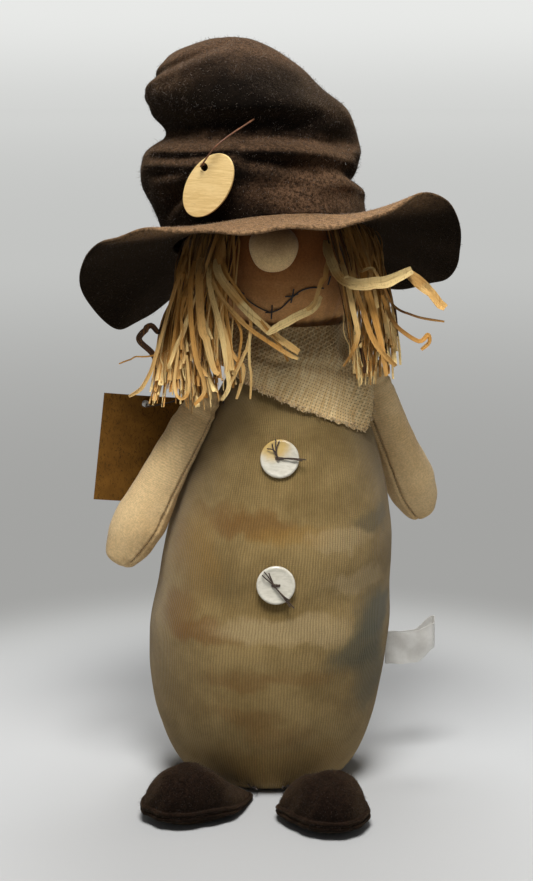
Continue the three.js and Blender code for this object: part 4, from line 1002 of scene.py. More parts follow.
def crown_folds(azimuth, height):
    """How far the felt is pressed in, as it slumps in folds."""
    turned = half_turn(azimuth)
    across, front = sind(turned), cosd(turned)
    facing = np.clip(front, 0, 1) ** 0.8
    sag = 54.5 - 4 * across - 6.5 * front + 1.2 * sind(4 * turned + 30)
    above = height - sag
    depth = (0.8 + 10 * facing) * np.exp(-((above / np.where(above > 0, 13.0, 4.5)) ** 2))
    depth -= 1.5 * np.clip(across, 0, 1) * bell(height, 60, 8)
    depth -= 2.2 * facing * bell(above, -10, 5)
    folds = [
        (-66, -8, 14, sag - 11 + 0.03 * (turned + 40), 3.4, 3.0),
        (-62, -42, 12, 35 - 0.1 * (turned + 70), 2.6, 3.0),
        (-66, -28, 12, 8 + 0.36 * (turned + 75), 3.0, 3.4),
        (-12, 36, 15, 34 - 0.25 * turned, 2.2, 4.5),
        (52, 125, 20, 27 + 0 * turned, 4.2, 4.2),
        (18, 75, 15, 43 - 0.12 * (turned - 40), 1.5, 3.5),
        (130, 230, 25, 30 + 0.1 * (turned % 360 - 180), 3.0, 5.0),
    ]
    for low, high, soft, middle, deep, wide in folds:
        span = turned % 360 if high > 180 else turned
        groove = bell(height, middle, wide) - 0.45 * bell(height, middle - 1.9 * wide, wide)
        depth += deep * stretch_of(span, low, high, soft) * groove
    ridge = 83 + 0.25 * (turned + 90)
    pinched = stretch_of(turned, -105, 25, 22)
    depth += pinched * (3.4 * bell(height, ridge + 4, 3.2) - 1.6 * bell(height, ridge - 2, 3.6))
    return depth


def crown_point(azimuth, station, inset=0.0):
    """A point on the crown: station counts along the line of the crown, inset goes into the felt."""
    side, grow, height, front = np.moveaxis(catmull(CROWN_LINE, station), -1, 0)
    column = around(60.0, azimuth, height)
    rumple = 0.9 * wobble(column, 34, 21) + 0.5 * wobble(column, 16, 22)
    loose = smoothstep(height, 3, 18) * smoothstep(station, 10, 8.6)
    radius = CROWN_R + grow - inset + (rumple - crown_folds(azimuth, height)) * loose
    tilt = 1 - smoothstep(height, 0, CROWN_H)
    sunk = inset * smoothstep(station, 4.5, 9)
    z = SEAM_Z + SEAT + height + tilt * seam_tilt(azimuth) - sunk
    point = around(np.maximum(radius, 0.4), azimuth, z, HAT_X + side)
    point[..., 1] -= front
    return point


def brim_edge_rise(azimuth):
    turned = np.asarray(azimuth, float) % 360 / 30 + 2
    wave = np.concatenate([BRIM_WAVE[-2:], BRIM_WAVE, BRIM_WAVE[:3]])[:, None]
    return catmull(wave, turned)[..., 0]


def brim_point(azimuth, share, below):
    """A point on the brim: share runs from the crown's inside, below 0, to 1 at the edge."""
    out = np.clip(share, 0, 1)
    radius = CROWN_R + np.where(share < 0, share * FELT, share * BRIM_W)
    rise = brim_edge_rise(azimuth) - seam_tilt(azimuth)
    ripple = 1.0 * sind(9 * azimuth + 50) + 0.8 * sind(16 * azimuth)
    ragged = 1.0 * sind(7 * azimuth + 20) + 0.4 * sind(19 * azimuth)
    turned = half_turn(azimuth)
    flare = sum(reach * bell(turned, middle, spread) for middle, reach, spread in BRIM_FLARES)
    z = SEAM_Z + seam_tilt(azimuth) + rise * out**BRIM_CURVE + ripple * out**2 - below
    return around(radius + flare * out + ragged * out**3, azimuth, z, HAT_X)


def make_hat():
    azimuth = np.arange(-180, 180, 1.5)[None]
    last = len(CROWN_LINE) - 1
    outside = crown_point(azimuth, np.linspace(0, last, 150)[:, None])
    inside = crown_point(azimuth, np.linspace(8.6, 0, 60)[:, None], FELT)
    crown = lattice("hat_crown_felt", np.concatenate([inside, outside]))
    dress(crown, felt, "head", "felt", "hat_crown", "hat_filling")

    azimuth = np.arange(-180, 180, 1.0)[None]
    share = np.concatenate([[-1, -0.5], np.linspace(0, 0.97, 34)])[:, None]
    top = brim_point(azimuth, share[::-1], 0.0)
    rim = np.concatenate([brim_point(azimuth, np.array([[1.0]]), FELT * t) for t in (0.8, 0.5, 0.2)])
    under = brim_point(azimuth, share, FELT)
    brim = lattice("hat_brim_felt", np.concatenate([top, under, rim]), wrap=True)
    dress(brim, brim_felt, "head", "felt", "hat_brim")

    points, normals = surface_points(crown, 40000, 31, lambda p, n: p[:, 2] > 330)
    outer = ((points - CROWN_MIDDLE) * normals).sum(1) > 0
    points, normals = points[outer], normals[outer]
    dress(fuzz("hat_crown_nap", points[::2], normals[::2], 32, (0.8, 2.2)), nap, "head", "felt")
    dress(fuzz("hat_crown_wisps", points[1::8], normals[1::8], 37, (1.6, 5.0)), wisp, "head", "felt")
    points, normals = surface_points(brim, 5000, 33, lambda p, n: n[:, 2] < 0.3)
    dress(fuzz("hat_brim_nap", points, normals, 34, (0.8, 2.6)), nap, "head", "felt")
    points, normals = surface_points(brim, 16000, 35, lambda p, n: n[:, 2] > 0.3)
    # The nap on the brim's front is paler: painted sheen where its fuzz catches the light.
    painted_sheen = points[:, 1] < -50
    dress(fuzz("hat_brim_front_nap", points[painted_sheen], normals[painted_sheen], 36, (0.5, 1.7)), painted_sheen_nap, "head", "felt")
    dress(fuzz("hat_brim_top_nap", points[~painted_sheen], normals[~painted_sheen], 38, (0.5, 1.7)), nap, "head", "felt")


make_hat()


# Raffia hair

ROOT_RISE, RAFFIA_T, LOOSE_FOLD = 1.5, 0.2, 0.12


def root_point(azimuth, out, drop=0.0):
    z = SEAM_Z + seam_tilt(azimuth) + ROOT_RISE - drop
    rise = np.clip(z - HEAD_Z, -HEAD_R + 1, HEAD_R - 1)
    return around(np.sqrt((HEAD_R + out) ** 2 - rise**2), azimuth, HEAD_Z + rise, HEAD_X)


def uneven(count, knots, spread):
    """A crooked line of values from 0: straight between a few knots."""
    at = np.sort(rng.random(knots))
    values = rng.normal(size=knots) * spread
    return np.interp(np.linspace(0, 1, count), np.concatenate([[0], at]), np.concatenate([[0], values]))


def hair_strip(root_azimuth, end, layer, width, tone, fold):
    """A crinkled strip that comes out from under the hat, bends over the head and hangs to its end."""
    count = 26
    start = root_point(root_azimuth, 2.6 + 0.25 * layer)
    bend = root_point(root_azimuth, 1.6 + layer, rng.uniform(13, 21))
    hang = bend * 0.5 + end * 0.5 + around(rng.uniform(0, 4), root_azimuth, 0.0)
    path = curve(np.array([start, bend, hang, end]), count)
    across = heading(root_azimuth + 90)
    out = heading(root_azimuth)
    path = path + uneven(count, 4, 1.3)[:, None] * across + uneven(count, 4, 0.8)[:, None] * out
    path = clear_of_head(path, 0.8)
    turn = rng.uniform(-0.7, 0.7) + uneven(count, 4, 0.9)
    sides = np.cos(turn)[:, None] * across + np.sin(turn)[:, None] * out
    taper = np.clip(0.85 + uneven(count, 4, 0.2), 0.35, 1.15)
    # Painted shade under the hat: each strip's tone is lowest at its root and grows towards its end.
    shade = np.clip(tone * np.linspace(0.2, 1.2, count) + uneven(count, 5, 0.08), 0, 1)
    return path, sides, width * taper, fold, RAFFIA_T, shade


STRIP_WIDTHS, WIDTH_ODDS = [0.7, 1.2, 1.8, 2.6, 4.0], [0.36, 0.34, 0.18, 0.09, 0.03]


def make_bunch(spread, ends, low, rise, clumps, strays):
    """Strips in clumps, each clump with its own root and end, and wide strays that cross over them."""

    def end_at(share):
        x, y = (np.interp(share, [0, 1], side) for side in zip(*ends))
        return np.array([x, y, low + rise * rng.random()])

    strips = []
    for share in (np.arange(clumps) + rng.random(clumps)) / clumps:
        azimuth = spread[0] + (spread[1] - spread[0]) * share
        end = end_at(np.clip(share + rng.normal() * 0.08, 0, 1))
        layer = rng.uniform(0.4, 6.0)
        for _ in range(rng.integers(7, 15)):
            root = azimuth + rng.normal() * 3.5
            tip = end + rng.normal(size=3) * [2.6, 1.8, 4.0]
            wide = rng.choice(STRIP_WIDTHS, p=WIDTH_ODDS) * rng.uniform(0.8, 1.2)
            height = layer + rng.uniform(0, 1.5)
            # Strips in layers nearer the head are darker on average, as painted shade under the outer ones;
            # the rest of the tone is random.
            tone = np.clip(rng.normal(0.12 + 0.12 * height, 0.34), 0, 1)
            strips.append(hair_strip(root, tip, height, wide, tone, rng.uniform(-0.38, 0.38)))
    for _ in range(strays):
        root = rng.uniform(*sorted(spread))
        tip = end_at(rng.random()) + [0, -2.5, rng.uniform(0, 22)]
        strips.append(hair_strip(root, tip, rng.uniform(5, 8), rng.uniform(1.2, 3.8), rng.uniform(0.4, 1.0),
                                 rng.uniform(-0.3, 0.3)))
    return strips


FRONT, UP_FRONT = (0, -1, 0.2), (0, -0.8, 0.6)

# Strips that stand out in the photo: points, width, tone, twist and what else differs from a plain strip
LEFT_STRIPS = [
    ([(-27, -44, 316), (-26, -54, 306), (-14, -62, 291), (2, -63, 276), (18, -60, 264)], 4.6, 0.8, 0.0),
    ([(-24, -45, 318), (-22, -55, 308), (-8, -62, 288), (6, -63, 270), (12, -61, 259)], 1.8, 0.35, 0.0),
    ([(-30, -43, 314), (-29, -54, 300), (-16, -62, 282), (4, -64, 268), (17, -62, 260)], 2.4, 0.6, 0.0),
    ([(-30, -42, 314), (-31, -54, 300), (-24, -62, 270), (-21, -63, 248), (-25, -62, 238)], 3.0, 0.9, 0.7),
    ([(-36, -40, 314), (-37, -52, 300), (-35, -60, 276), (-30, -62, 256), (-26, -62, 252)], 4.6, 0.75, 0.9),
    ([(-40, -38, 312), (-42, -50, 296), (-40, -58, 266), (-34, -60, 244), (-40, -58, 234)], 3.0, 0.6, -0.8),
    ([(-45, -24, 312), (-52, -33, 294), (-61, -42, 264), (-68, -46, 244), (-77, -48, 237)], 2.4, 0.65, 0.5),
    ([(-55, -28, 284), (-60, -34, 271), (-65, -35, 275), (-71, -35, 270.5), (-71.5, -35, 266),
      (-64, -36, 259), (-61.3, -37, 250), (-62, -38, 244)], 3.0, 0.0, 0.4, FRONT, 40),
    ([(-22, -55, 303), (-10, -61, 286), (-11, -63, 266), (-24.5, -62, 237)], 2.0, 0.8, 0.5),
    ([(-21, -57, 287), (-14, -61, 276), (-15, -62, 261), (-21.5, -61, 248)], 1.4, 0.5, 0.0),
    ([(-9, -62, 285), (-9.7, -63, 267), (-8.6, -62, 252), (-9.1, -61, 238)], 1.5, 0.75, 0.0),
    ([(-26, -57, 277), (-18, -61, 262), (-13, -62, 254), (-16.6, -61, 238)], 2.2, 0.65, 0.4),
    ([(-54, -36, 262), (-66, -38, 258), (-76, -38, 256.6), (-83, -38, 254)], 0.9, 0.3, 0.0),
    ([(-49, -54, 266), (-52, -57, 246), (-48, -60, 238), (-43, -60, 243), (-44, -58, 262)], 1.7, 0.7, 0.0),
]
RIGHT_STRIPS = [
    ([(33, -44, 324), (34, -56, 318), (37, -62, 311), (40, -65, 306), (46, -67, 302)], 5.4, 0.85, 0.3),
    ([(41, -65, 305), (50, -67, 301.5), (63, -66, 303), (79, -63, 310)], 6.6, 0.9, 0.15, (0, -1, 0.3)),
    ([(76, -60, 310), (83, -58, 303), (91, -56, 295), (98, -54, 287)], 6.0, 0.7, 0.0, (0.3, -1, 0.2)),
    ([(62, -50, 306), (70, -54, 290), (82, -54, 283), (98, -54, 280)], 1.5, 0.15, 0.0),
    ([(36, -45, 320), (33, -57, 310), (29, -61, 300), (26, -63, 291), (22, -64, 288)], 2.6, 0.6, 0.0),
    ([(30, -62, 295), (24, -64, 288), (12, -66, 283), (0, -66, 275)],
     4.8, 0.9, 0.0, UP_FRONT, 28, (0.35, 0.3)),
    ([(40, -44, 316), (44, -56, 304), (48, -63, 284), (49, -64, 268), (43, -63, 256)], 3.2, 0.65, 0.8),
    ([(48, -40, 316), (52, -54, 308), (58, -60, 310), (64, -58, 300)], 1.6, 0.7, 0.0),
    ([(64, -48, 294), (71, -50, 278), (84, -50, 269), (89.4, -50, 272.6), (90.5, -50, 268), (86, -50, 263.6)],
     2.8, 0.45, 0.5),
    ([(52, -40, 314), (56, -54, 296), (63, -58, 268), (66, -57, 250)], 4.0, 0.5, 0.6),
    ([(46, -42, 314), (50, -55, 296), (60, -60, 270), (72, -56, 256)], 3.0, 0.65, -0.5),
]


def loose_strip(points, width, tone, twist, facing=FRONT, count=28, ends=(0.6, 0.7)):
    """A strip through given points, its face turned towards a direction, narrower at its ends."""
    path = curve(np.array(points, float), count)
    tangent = np.gradient(path, axis=0)
    sides = unit(np.cross(tangent, np.asarray(facing, float)))
    out = np.cross(sides, unit(tangent))
    turn = (np.linspace(0, twist, count) + uneven(count, 4, 0.2))[:, None]
    taper = np.interp(np.linspace(0, 1, count), [0, 0.2, 0.85, 1], [ends[0], 1, 0.95, ends[1]])
    taper = taper * (1 + uneven(count, 6, 0.07))
    path = path + uneven(count, 5, 0.5)[:, None] * sides
    shade = np.clip(tone + uneven(count, 5, 0.1), 0, 1)
    return path, np.cos(turn) * sides + np.sin(turn) * out, width * taper, LOOSE_FOLD, RAFFIA_T, shade


# Bunches: azimuths of the roots, X and Y of the ends, their least height and its spread, clumps and strays
BUNCHES = [
    ("left", ((-31, -101), ((-20, -61), (-62, -46)), 235, 24, 19, 13), LEFT_STRIPS),
    ("right", ((35, 101), ((50, -53), (71, -38)), 244, 26, 14, 8), RIGHT_STRIPS),
    ("back", ((112, 248), ((44, 51), (-32, 51)), 251, 20, 18, 10), []),
]
for where, bunch, loose in BUNCHES:
    strips = make_bunch(*bunch) + [loose_strip(*strip) for strip in loose]
    dress(ribbons(f"hair_{where}_raffia", strips), raffia, "head", "raffia", f"hair_{where}")


# Scarf

SCARF_TOP, SCARF_R = 274.72, 37.1
SCARF_ARC, SCARF_THREAD, SCARF_SLANT = 44.0, 1.75, math.radians(23.0)
SCARF_FROM, SCARF_CORNER, SCARF_TO = -62.0, 62.0, 87.0
SCARF_SHORT, SCARF_LONG = 24.0, 62.0


def scarf_drop(azimuth):
    """The scarf's depth: it grows from an azimuth on the left to the corner, and is soon short again."""
    turned = half_turn(azimuth)
    before = (turned - SCARF_FROM) / (SCARF_CORNER - SCARF_FROM)
    after = (SCARF_TO - turned) / (SCARF_TO - SCARF_CORNER)
    return SCARF_SHORT + (SCARF_LONG - SCARF_SHORT) * np.clip(np.minimum(before, after), 0, 1)


def scarf_point(azimuth, share, out):
    """A point on the scarf: share runs from the top to the lower edge."""
    z = SCARF_TOP - share * scarf_drop(azimuth)
    turned = half_turn(azimuth)
    hanging = SCARF_R + 0.1 * (SCARF_TOP - z)
    wide = 2.5 * np.sin(math.pi * share) ** 2 * (1 + cosd(2 * azimuth + 40))
    crease = -2.6 * bell(share, 0.45, 0.06) * bell(turned, 30, 45)
    hollow = -5.0 * bell(share, 0.22, 0.14) * bell(turned, 62, 13)
    fold = 2.4 * bell(share, 0.25, 0.2) * bell(turned, 42, 9)
    roll = 1.1 * sind(5 * azimuth + 200 * share) * np.sin(math.pi * share)
    flap = 9.0 * smoothstep(turned, 46, 70) * smoothstep(turned, 90, 76) * smoothstep(share, 0.1, 0.6)
    body_reach = body_radius(z) / np.hypot(sind(azimuth), cosd(azimuth) / body_depth(z))
    loose = hanging + wide + crease + hollow + fold + roll + flap
    return around(np.maximum(loose, body_reach + 0.9) + out, azimuth, z, lean(z))


def make_scarf():
    azimuth = np.linspace(-180, 180, 700, endpoint=False)[None]
    edge = 1 + 0.02 * wobble(around(40.0, azimuth, 0 * azimuth), 5, 51)
    share = np.linspace(0, 1, 150)[:, None] * edge
    arc = np.radians(azimuth) * SCARF_ARC
    drop = share * scarf_drop(azimuth)
    run = arc * math.cos(SCARF_SLANT) + drop * math.sin(SCARF_SLANT)
    rise = arc * math.sin(SCARF_SLANT) - drop * math.cos(SCARF_SLANT)
    counts = np.stack([run, rise], -1) / SCARF_THREAD
    warp, weft = np.moveaxis(np.cos(math.pi * counts), -1, 0)
    weave = 0.3 * warp * weft + 0.18 * (np.abs(warp) + np.abs(weft))
    outside = scarf_point(azimuth, share, 1.1 + weave)
    inside = scarf_point(azimuth, share[::4], 0.15)
    scarf = lattice("scarf_burlap", np.concatenate([outside[::-1], inside]), wrap=True)
    threads = np.concatenate([counts[::-1], counts[::4]]).reshape(-1, 2)
    corners = np.empty(len(scarf.data.loops), np.int32)
    scarf.data.loops.foreach_get("vertex_index", corners)
    scarf.data.uv_layers[0].data.foreach_set("uv", threads[corners].astype(np.float32).ravel())
    dress(scarf, burlap, "torso", "burlap", "scarf")

    fringe = []
    for turned in np.linspace(-180, 180, 520, endpoint=False):
        drop = float(scarf_drop(np.array(turned)))
        start = scarf_point(np.array(turned), 1 - rng.uniform(0.5, 2.5) / drop, 0.9)
        lie = rng.normal(size=3) * 0.5 + np.array([0, 0, -0.8])
        lie = lie + around(0.3, turned, 0.0)
        length = rng.uniform(0.8, 3.2)
        end = start + unit(lie) * length + around(0.4, turned, 0.0)
        middle = (start + end) / 2 + rng.normal(size=3) * 0.3
        fringe.append((curve(np.array([start, middle, end]), 5), rng.uniform(0.15, 0.48)))
    loose = tubes("scarf_fringe", fringe, 0.3, sides=5)
    tone = loose.data.attributes.new("tone", "FLOAT", "POINT")
    shades = np.repeat(rng.random(len(fringe)), 25)
    tone.data.foreach_set("value", shades.astype(np.float32))
    dress(loose, jute, "torso", "burlap")


make_scarf()


# Arms

ARM_L, ARM_R, ARM_ROOT_R, ARM_DEPTH = 110.0, 15.5, 9.5, 0.86
ARMS = [
    {"side": "left", "azimuth": -67.0, "height": 226.0, "splay": 27.5, "back": 0.0, "aside": 0.0,
     "seam": (62.0, 34.0)},
    {"side": "right", "azimuth": 101.0, "height": 234.0, "splay": -20.7, "back": 23.7, "aside": 2.5,
     "seam": (-52.0, -24.0)},
]


def turned_by(splay, back):
    """The turn that swings an arm back and then out."""
    a, b = math.radians(splay), math.radians(back)
    about_y = np.array([[math.cos(a), 0, math.sin(a)], [0, 1, 0], [-math.sin(a), 0, math.cos(a)]])
    about_x = np.array([[1, 0, 0], [0, math.cos(b), -math.sin(b)], [0, math.sin(b), math.cos(b)]])
    return about_y @ about_x


def make_arm(side, azimuth, height, splay, back, aside, seam):
    outline = [
        (0.12 * ARM_R, -ARM_L), (0.62 * ARM_R, -ARM_L + 0.25 * ARM_R), (ARM_R, -ARM_L + 1.6 * ARM_R),
        (ARM_ROOT_R + 0.6 * (ARM_R - ARM_ROOT_R), -ARM_L / 2), (ARM_ROOT_R, 0),
        (0.6 * ARM_ROOT_R, 0.8 * ARM_ROOT_R),
    ]
    profile = curve(outline, 130)

    def seam_at(heights):
        return seam[0] + (seam[1] - seam[0]) * np.clip(-heights / ARM_L, 0, 1)

    turned = np.arange(-180, 180, 2.25)[None]
    radius, z = profile[:, :1], profile[:, 1:]
    off = np.radians(np.abs(half_turn(turned - seam_at(z)))) * radius
    groove = -0.9 * bell(off, 0, 0.9) + 0.25 * bell(off, 2.4, 1.4)
    pucker = 0.22 * np.sin(z * 1.35 + 2 * np.sin(z * 0.4)) * bell(off, 0, 6)
    at = around(radius, turned, z)
    wrinkle = 0.35 * wobble(at * [1, 1, 2.2], 26, 61) + 0.4 * wobble(at, 45, 62)
    shoulder = 0.5 * np.sin(z * 0.9 + np.radians(turned)) * smoothstep(z, -22, -4)
    grown = radius + (groove + pucker + wrinkle + shoulder) * smoothstep(radius, 1, 6)
    local = around(grown, turned, z) * [1, ARM_DEPTH, 1]
    shoulder_out = body_normal(azimuth, height) * (ARM_ROOT_R + SEAT)
    root = body_surface(azimuth, height) + shoulder_out + [aside, 0, 0]
    place = turned_by(splay, back)
    rows = clear_of_body(local @ place.T + root, 0.6)
    arm = lattice(f"arm_{side}", rows)
    dress(arm, arm_muslin, f"arm_{side}", "muslin", f"arm_{side}_cover", f"arm_{side}_filling")

    stitches = []
    for start in np.arange(-ARM_L + 6, -8, 2.3):
        heights = np.array([start, start + 0.75, start + 1.5])
        reach = np.interp(heights, profile[:, 1], profile[:, 0]) - np.array([0.75, 0.25, 0.75])
        spots = around(reach, seam_at(heights), heights) * [1, ARM_DEPTH, 1]
        stitches.append(curve(spots, 5) @ place.T + root)
    row = tubes(f"arm_{side}_stitches", stitches, 0.3, sides=6)
    dress(row, seam_thread, f"arm_{side}", "brown_thread")


for arm in ARMS:
    make_arm(**arm)


# Feet

FOOT_L, FOOT_W, FOOT_UP, FOOT_SEAM, FOOT_FLAT, TOE_WIDEN = 67.0, 44.0, 21.0, 8.0, 0.6, 0.1
HEEL_LOW, HEEL_NARROW, TOE_PLUMP = 0.3, 0.4, 3.6
# The two felt edges at the seam, from the sole's to the upper's: how far they stand out, and their height
EDGE_OUT = [0.6, 2.1, 2.5, 2.0, 0.3, 2.0, 2.5, 2.1, 0.6]
EDGE_Z = [5.6, 5.5, 6.6, 7.7, 7.95, 8.2, 9.3, 10.4, 10.6]
FEET = [
    {"side": "left", "azimuth": -11.0, "reach": 19.0, "toe_out": -54.0},
    {"side": "right", "azimuth": 15.0, "reach": 18.6, "toe_out": 27.0},
]


def belly_under(point):
    """The height at which the body's underside lies over a point."""
    reach = np.hypot(point[..., 0], point[..., 1] / BODY_DEPTH)
    share = np.clip((reach - BASE_R) / (BELLY_R - BASE_R), 0, 1)
    return BELLY_Z * (1 - np.sqrt(1 - share**2))


def make_foot(side, azimuth, reach, toe_out):
    heel = body_place(BASE_R + reach, azimuth, 0.0)
    toe = heading(toe_out)
    across = np.array([-toe[1], toe[0], 0])
    middle = heel + toe * FOOT_L / 2
    angle = np.radians(np.arange(0, 360, 2.5))[None]

    def ring(share, out, height):
        share = np.asarray(share, float)[:, None]
        long = FOOT_L / 2 * np.cos(angle)
        wide = FOOT_W / 2 * np.sin(angle) * (1 + TOE_WIDEN * np.cos(angle))
        forward = share * np.cos(angle)
        wide = wide * (1 - HEEL_NARROW * smoothstep(-forward, 0.1, 1.0))
        low = HEEL_LOW + (1 - HEEL_LOW) * smoothstep(forward, -1.0, 0.2)
        stretch = share * (1 + np.asarray(out, float)[:, None] / np.hypot(long, wide))
        flat = middle + (long * stretch)[..., None] * toe + (wide * stretch)[..., None] * across
        room = belly_under(flat) - 0.5
        flat[..., 2] = np.minimum(np.asarray(height, float)[:, None] * low * np.minimum(1, room / 10.5), room)
        return flat

    share = np.sin(np.linspace(0.03, 1, 40) * math.pi / 2)
    dome = FOOT_SEAM + FOOT_UP * np.sqrt(np.clip(1 - share**TOE_PLUMP, 0, 1))
    bowl = EDGE_Z[0] * np.clip((share - FOOT_FLAT) / (1 - FOOT_FLAT), 0, 1) ** 2
    flat_out = np.zeros_like(share)
    sole = ring(share, flat_out, bowl)
    edge = ring(np.ones(len(EDGE_Z)), EDGE_OUT, EDGE_Z)
    upper = ring(share[::-1], flat_out, np.maximum(dome[::-1], EDGE_Z[-1]))
    rows = np.concatenate([sole, edge, upper])
    lumps = 0.8 * wobble(rows, 24, 71) + 0.5 * wobble(rows, 11, 72)
    outward = unit(rows - middle - [0, 0, 9])
    rows = rows + outward * (np.minimum(lumps, 0.6) * smoothstep(rows[..., 2], 1, 6))[..., None]
    rows[..., 2] = np.clip(np.minimum(rows[..., 2], belly_under(rows) - 0.4), 0, None)
    foot = lattice(f"foot_{side}", rows)
    body = f"foot_{side}"
    dress(foot, foot_felt, body, "felt", f"foot_{side}_upper", f"foot_{side}_sole", f"foot_{side}_filling")
    points, normals = surface_points(foot, 3600, 73, lambda p, n: p[:, 2] > 2.5)
    clear = points[:, 2] < belly_under(points) - 3
    hairs = fuzz(f"foot_{side}_nap", points[clear], normals[clear], 74, (0.8, 2.4))
    dress(hairs, foot_nap, body, "felt")


for foot in FEET:
    make_foot(**foot)


# Buttons

BUTTON_R, BUTTON_T = 11.0, 2.4
# Loose ends of each button's thread: direction and length
BUTTON_TAILS = {
    "upper": [(97, 11), (112, 9), (85, 10), (138, 8), (-2, 16), (-5, 14)],
    "lower": [(138, 9), (125, 10), (112, 8), (-48, 17), (-53, 15), (-43, 12)],
}


def make_button(place, tails):
    x, height = BUTTON_SPOTS[place]
    azimuth = azimuth_of(x, height)
    normal = body_normal(azimuth, height)
    up = unit(UP - normal * normal[2])
    right = np.cross(up, normal)
    seat = body_surface(azimuth, height) + normal * SEAT

    def at(px, py, pz):
        px, py, pz = np.broadcast_arrays(px, py, pz)
        return seat + px[..., None] * right + py[..., None] * up + pz[..., None] * normal

    angle = np.radians(np.arange(0, 360, 3.75))[None]
    profile = np.array([
        (1, 0), (BUTTON_R - 0.7, 0), (BUTTON_R - 0.15, 0.35), (BUTTON_R, 1.0), (BUTTON_R - 0.1, 1.7),
        (BUTTON_R - 0.5, 2.2), (BUTTON_R - 1.0, BUTTON_T), (BUTTON_R - 1.5, 2.36), (BUTTON_R - 2.2, 2.14),
        (7.0, 2.02), (4.0, 2.0), (1.0, 2.0),
    ])
    radius, z = profile[:, :1], profile[:, 1:]
    rows = at(radius * np.cos(angle), radius * np.sin(angle), z)
    disc = lattice(f"button_{place}_shell", rows, sharp=50)
    dress(disc, shell, "torso", "shell", f"button_{place}")

    half, top = 2.3, 2.35
    strands = []
    for shift in (-0.35, 0.05, 0.45):
        loop = [(-half, shift, 1.7), (-half + 0.3, shift, top), (0, 1.4 * shift, top + 0.35),
                (half - 0.3, shift, top), (half, shift, 1.7)]
        strands.append((np.array([at(*p) for p in curve(loop, 14)]), 0.3))
    knot = [(-1.6, -0.7, top + 0.2), (-0.9, 0.9, top + 0.9), (-0.2, -0.8, top + 1.0), (-1.2, -0.5, top + 0.6),
            (-0.6, 0.7, top + 0.3)]
    strands.append((np.array([at(*p) for p in curve(knot, 20)]), 0.45))
    for direction, length in tails:
        bearing = math.radians(direction)
        bend = rng.normal() * 0.8
        run = [(-1.0 + math.cos(bearing) * length * t - math.sin(bearing) * bend * math.sin(math.pi * t),
                math.sin(bearing) * length * t + math.cos(bearing) * bend * math.sin(math.pi * t),
                top + 0.5 + rng.uniform(0.2, 1.6) * math.sin(math.pi * 0.8 * t)) for t in (0, 0.35, 0.7, 1)]
        strands.append((np.array([at(*p) for p in curve(run, 12)]), 0.36))
    tie = tubes(f"button_{place}_tie", strands, 0.3, sides=6)
    dress(tie, brown_thread, "torso", "brown_thread", f"button_thread_{place}")


for place, tails in BUTTON_TAILS.items():
    make_button(place, tails)


# Oval tag and its wire

OVAL_HOLE_AT = np.array([-33.14, -59.91, 364.92])
OVAL_AZIMUTH, OVAL_ANGLE, TAG_T = -22.0, 54.0, 1.6
# Where the wire goes into the crown
WIRE_AZIMUTH, WIRE_STATION = -4.0, 3.96


def faced(rows, origin, azimuth, angle):
    """Turns a flat plate and stands it up: its X runs right, its Y up and its Z out at an azimuth."""
    a = math.radians(angle)
    x = rows[..., 0] * math.cos(a) - rows[..., 1] * math.sin(a)
    y = rows[..., 0] * math.sin(a) + rows[..., 1] * math.cos(a)
    right, out = heading(azimuth + 90), heading(azimuth)
    return origin + x[..., None] * right + y[..., None] * UP + rows[..., 2:] * out


def oval_border(angle):
    """Where a ray from the hole meets the oval's edge."""
    centre, half = np.array([-6.5, -7.6]), np.array([19.5, 12.0])
    ray = np.stack([np.cos(angle), np.sin(angle)], 1) / half
    start = -centre / half
    a, b, c = (ray**2).sum(1), (ray * start).sum(1), (start**2).sum() - 1
    return ray * half * ((-b + np.sqrt(b * b - a * c)) / a)[:, None]


def make_oval_tag():
    tag = plate("oval_tag_plate", 2.2, oval_border, TAG_T,
                lambda rows: faced(rows, OVAL_HOLE_AT, OVAL_AZIMUTH, OVAL_ANGLE), 120)
    dress(tag, wood, "name_tag", "tag_wood", "oval_tag")
    out = heading(OVAL_AZIMUTH)
    hung = OVAL_HOLE_AT + [0, 0, 1.4]
    pin_out = heading(WIRE_AZIMUTH)
    pin = crown_point(np.array(WIRE_AZIMUTH), np.array(WIRE_STATION)) + pin_out * 0.2
    span = pin - hung
    span = span - out * (span @ out)
    route = [pin, pin + pin_out * 4, hung + out * (TAG_T + 3) + span * 0.5, hung + out * (TAG_T + 2.6),
             hung + out * (TAG_T + 1), hung, hung - out]
    wire = tubes("oval_tag_wire_bent", [curve(np.array(route), 60)], 0.5)
    dress(wire, rust, "head", "wire", "oval_tag_wire")


make_oval_tag()


# Card tag

CARD_W, CARD_H, CARD_DROP = 50.0, 65.0, 5.0


def card_border(angle):
    """Where a ray from the hole meets the card's edge, with the nearest rays moved into its corners."""
    ray = np.stack([np.cos(angle), np.sin(angle)], 1)
    across = CARD_W / 2 / np.maximum(np.abs(ray[:, 0]), 1e-9)
    upright = np.where(ray[:, 1] > 0, CARD_DROP, CARD_H - CARD_DROP) / np.maximum(np.abs(ray[:, 1]), 1e-9)
    edge = ray * np.minimum(across, upright)[:, None]
    for corner in [(x, y) for x in (-CARD_W / 2, CARD_W / 2) for y in (CARD_DROP, CARD_DROP - CARD_H)]:
        edge[np.argmin(np.linalg.norm(edge - corner, axis=1))] = corner
    return edge


def bend_card(rows):
    """Bows the card: its right side goes back, most at the bottom."""
    bowed = rows.copy()
    aside = np.maximum(rows[..., 0] + 4, 0)
    low = np.clip(-rows[..., 1] / CARD_H, 0, 1)
    bowed[..., 2] -= 0.006 * aside**2 * (0.35 + low) + 0.0008 * np.minimum(rows[..., 0], 0) ** 2
    return faced(bowed, CARD_HOLE, CARD_TURN, -CARD_TILT)


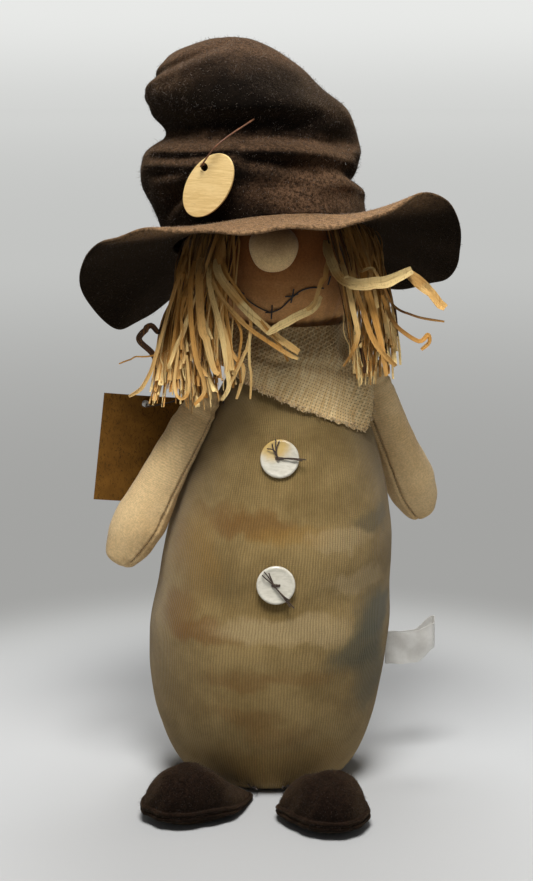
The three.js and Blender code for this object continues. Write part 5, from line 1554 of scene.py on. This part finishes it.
card = plate("card_tag_kraft", 1.6, card_border, CARD_T, bend_card, 160, chamfer=0.12, steps=24)
dress(card, kraft, "hang_tag", "kraft_card", "card_tag")


# Label: a ribbon folded on itself

LABEL_AZIMUTH, LABEL_Z, LABEL_OFF, LABEL_H, RIBBON = 98.0, 72.0, 1.2, 20.0, 0.5
# The fold seen from above: distances out from the body and aside
LABEL_FOLD = [
    (0, -0.45), (8, -1.1), (18, -1.5), (25, -2.1), (28.6, -1.9), (30, -0.3), (29.2, 1.6), (26, 2.4),
    (18, 1.7), (8, 1.2), (0, 0.45),
]


def make_label():
    root = body_place(BELLY_R + LABEL_OFF, LABEL_AZIMUTH, LABEL_Z)
    out, side = heading(LABEL_AZIMUTH), heading(LABEL_AZIMUTH + 90)
    middle = curve(np.array(LABEL_FOLD, float), 60)
    step = np.gradient(middle, axis=0)
    across = unit(np.stack([-step[:, 1], step[:, 0]], 1)) * RIBBON / 2
    heights = np.linspace(-LABEL_H / 2, LABEL_H / 2, 15)
    rows = []
    for x, y in np.concatenate([middle - across, (middle + across)[::-1]]):
        curl = smoothstep(x, 17, 31) * (7.0 + 4.0 * (y > 0))
        line = heights * (1 - 0.25 * smoothstep(x, 20, 31)) + curl + 0.25 * np.sin(x * 0.5)
        sway = y + 0.5 * np.sin(heights * 0.25 + x * 0.2) * smoothstep(x, 2, 12)
        rows.append(root + x * out + sway[:, None] * side + line[:, None] * UP)
    label = loop_strip("side_label_ribbon", np.array(rows))
    dress(label, satin, "label", "satin", "side_label")


make_label()


# Stitches that stay as solids

SEWN = ["neck_thread", *(f"{at}_thread_{side}" for at in ("shoulder", "heel") for side in ("left", "right"))]
for node in SEWN:
    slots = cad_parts[node].data.materials
    slots.clear()
    slots.append(brown_thread)


# Floor, backdrop and light

FLOOR_REACH = 12000.0


def make_floor():
    corners = [(x * FLOOR_REACH, y * FLOOR_REACH, 0.0) for x, y in ((-1, -1), (1, -1), (1, 1), (-1, 1))]
    ground = make("floor", corners, [(0, 1, 2, 3)])
    ground.data.materials.append(floor_look())


def add_lamp(name, place, aim, size, power):
    data = bpy.data.lights.new(name, "AREA")
    data.shape = "DISK"
    data.size = size
    data.energy = power
    lamp = bpy.data.objects.new(name, data)
    lamp.location = place
    lamp.rotation_euler = (Vector(aim) - Vector(place)).to_track_quat("-Z", "Y").to_euler()
    bpy.context.scene.collection.objects.link(lamp)


make_floor()
add_lamp("overhead", (-0.01, -0.5, 1.08), (0, 0, 0.2), 0.45, 14)
add_lamp("overhead_back", (0.03, 0.42, 1.0), (0, 0, 0.25), 0.5, 6)

bpy.context.scene.world = world_look()
bpy.context.scene.view_settings.view_transform = "Standard"
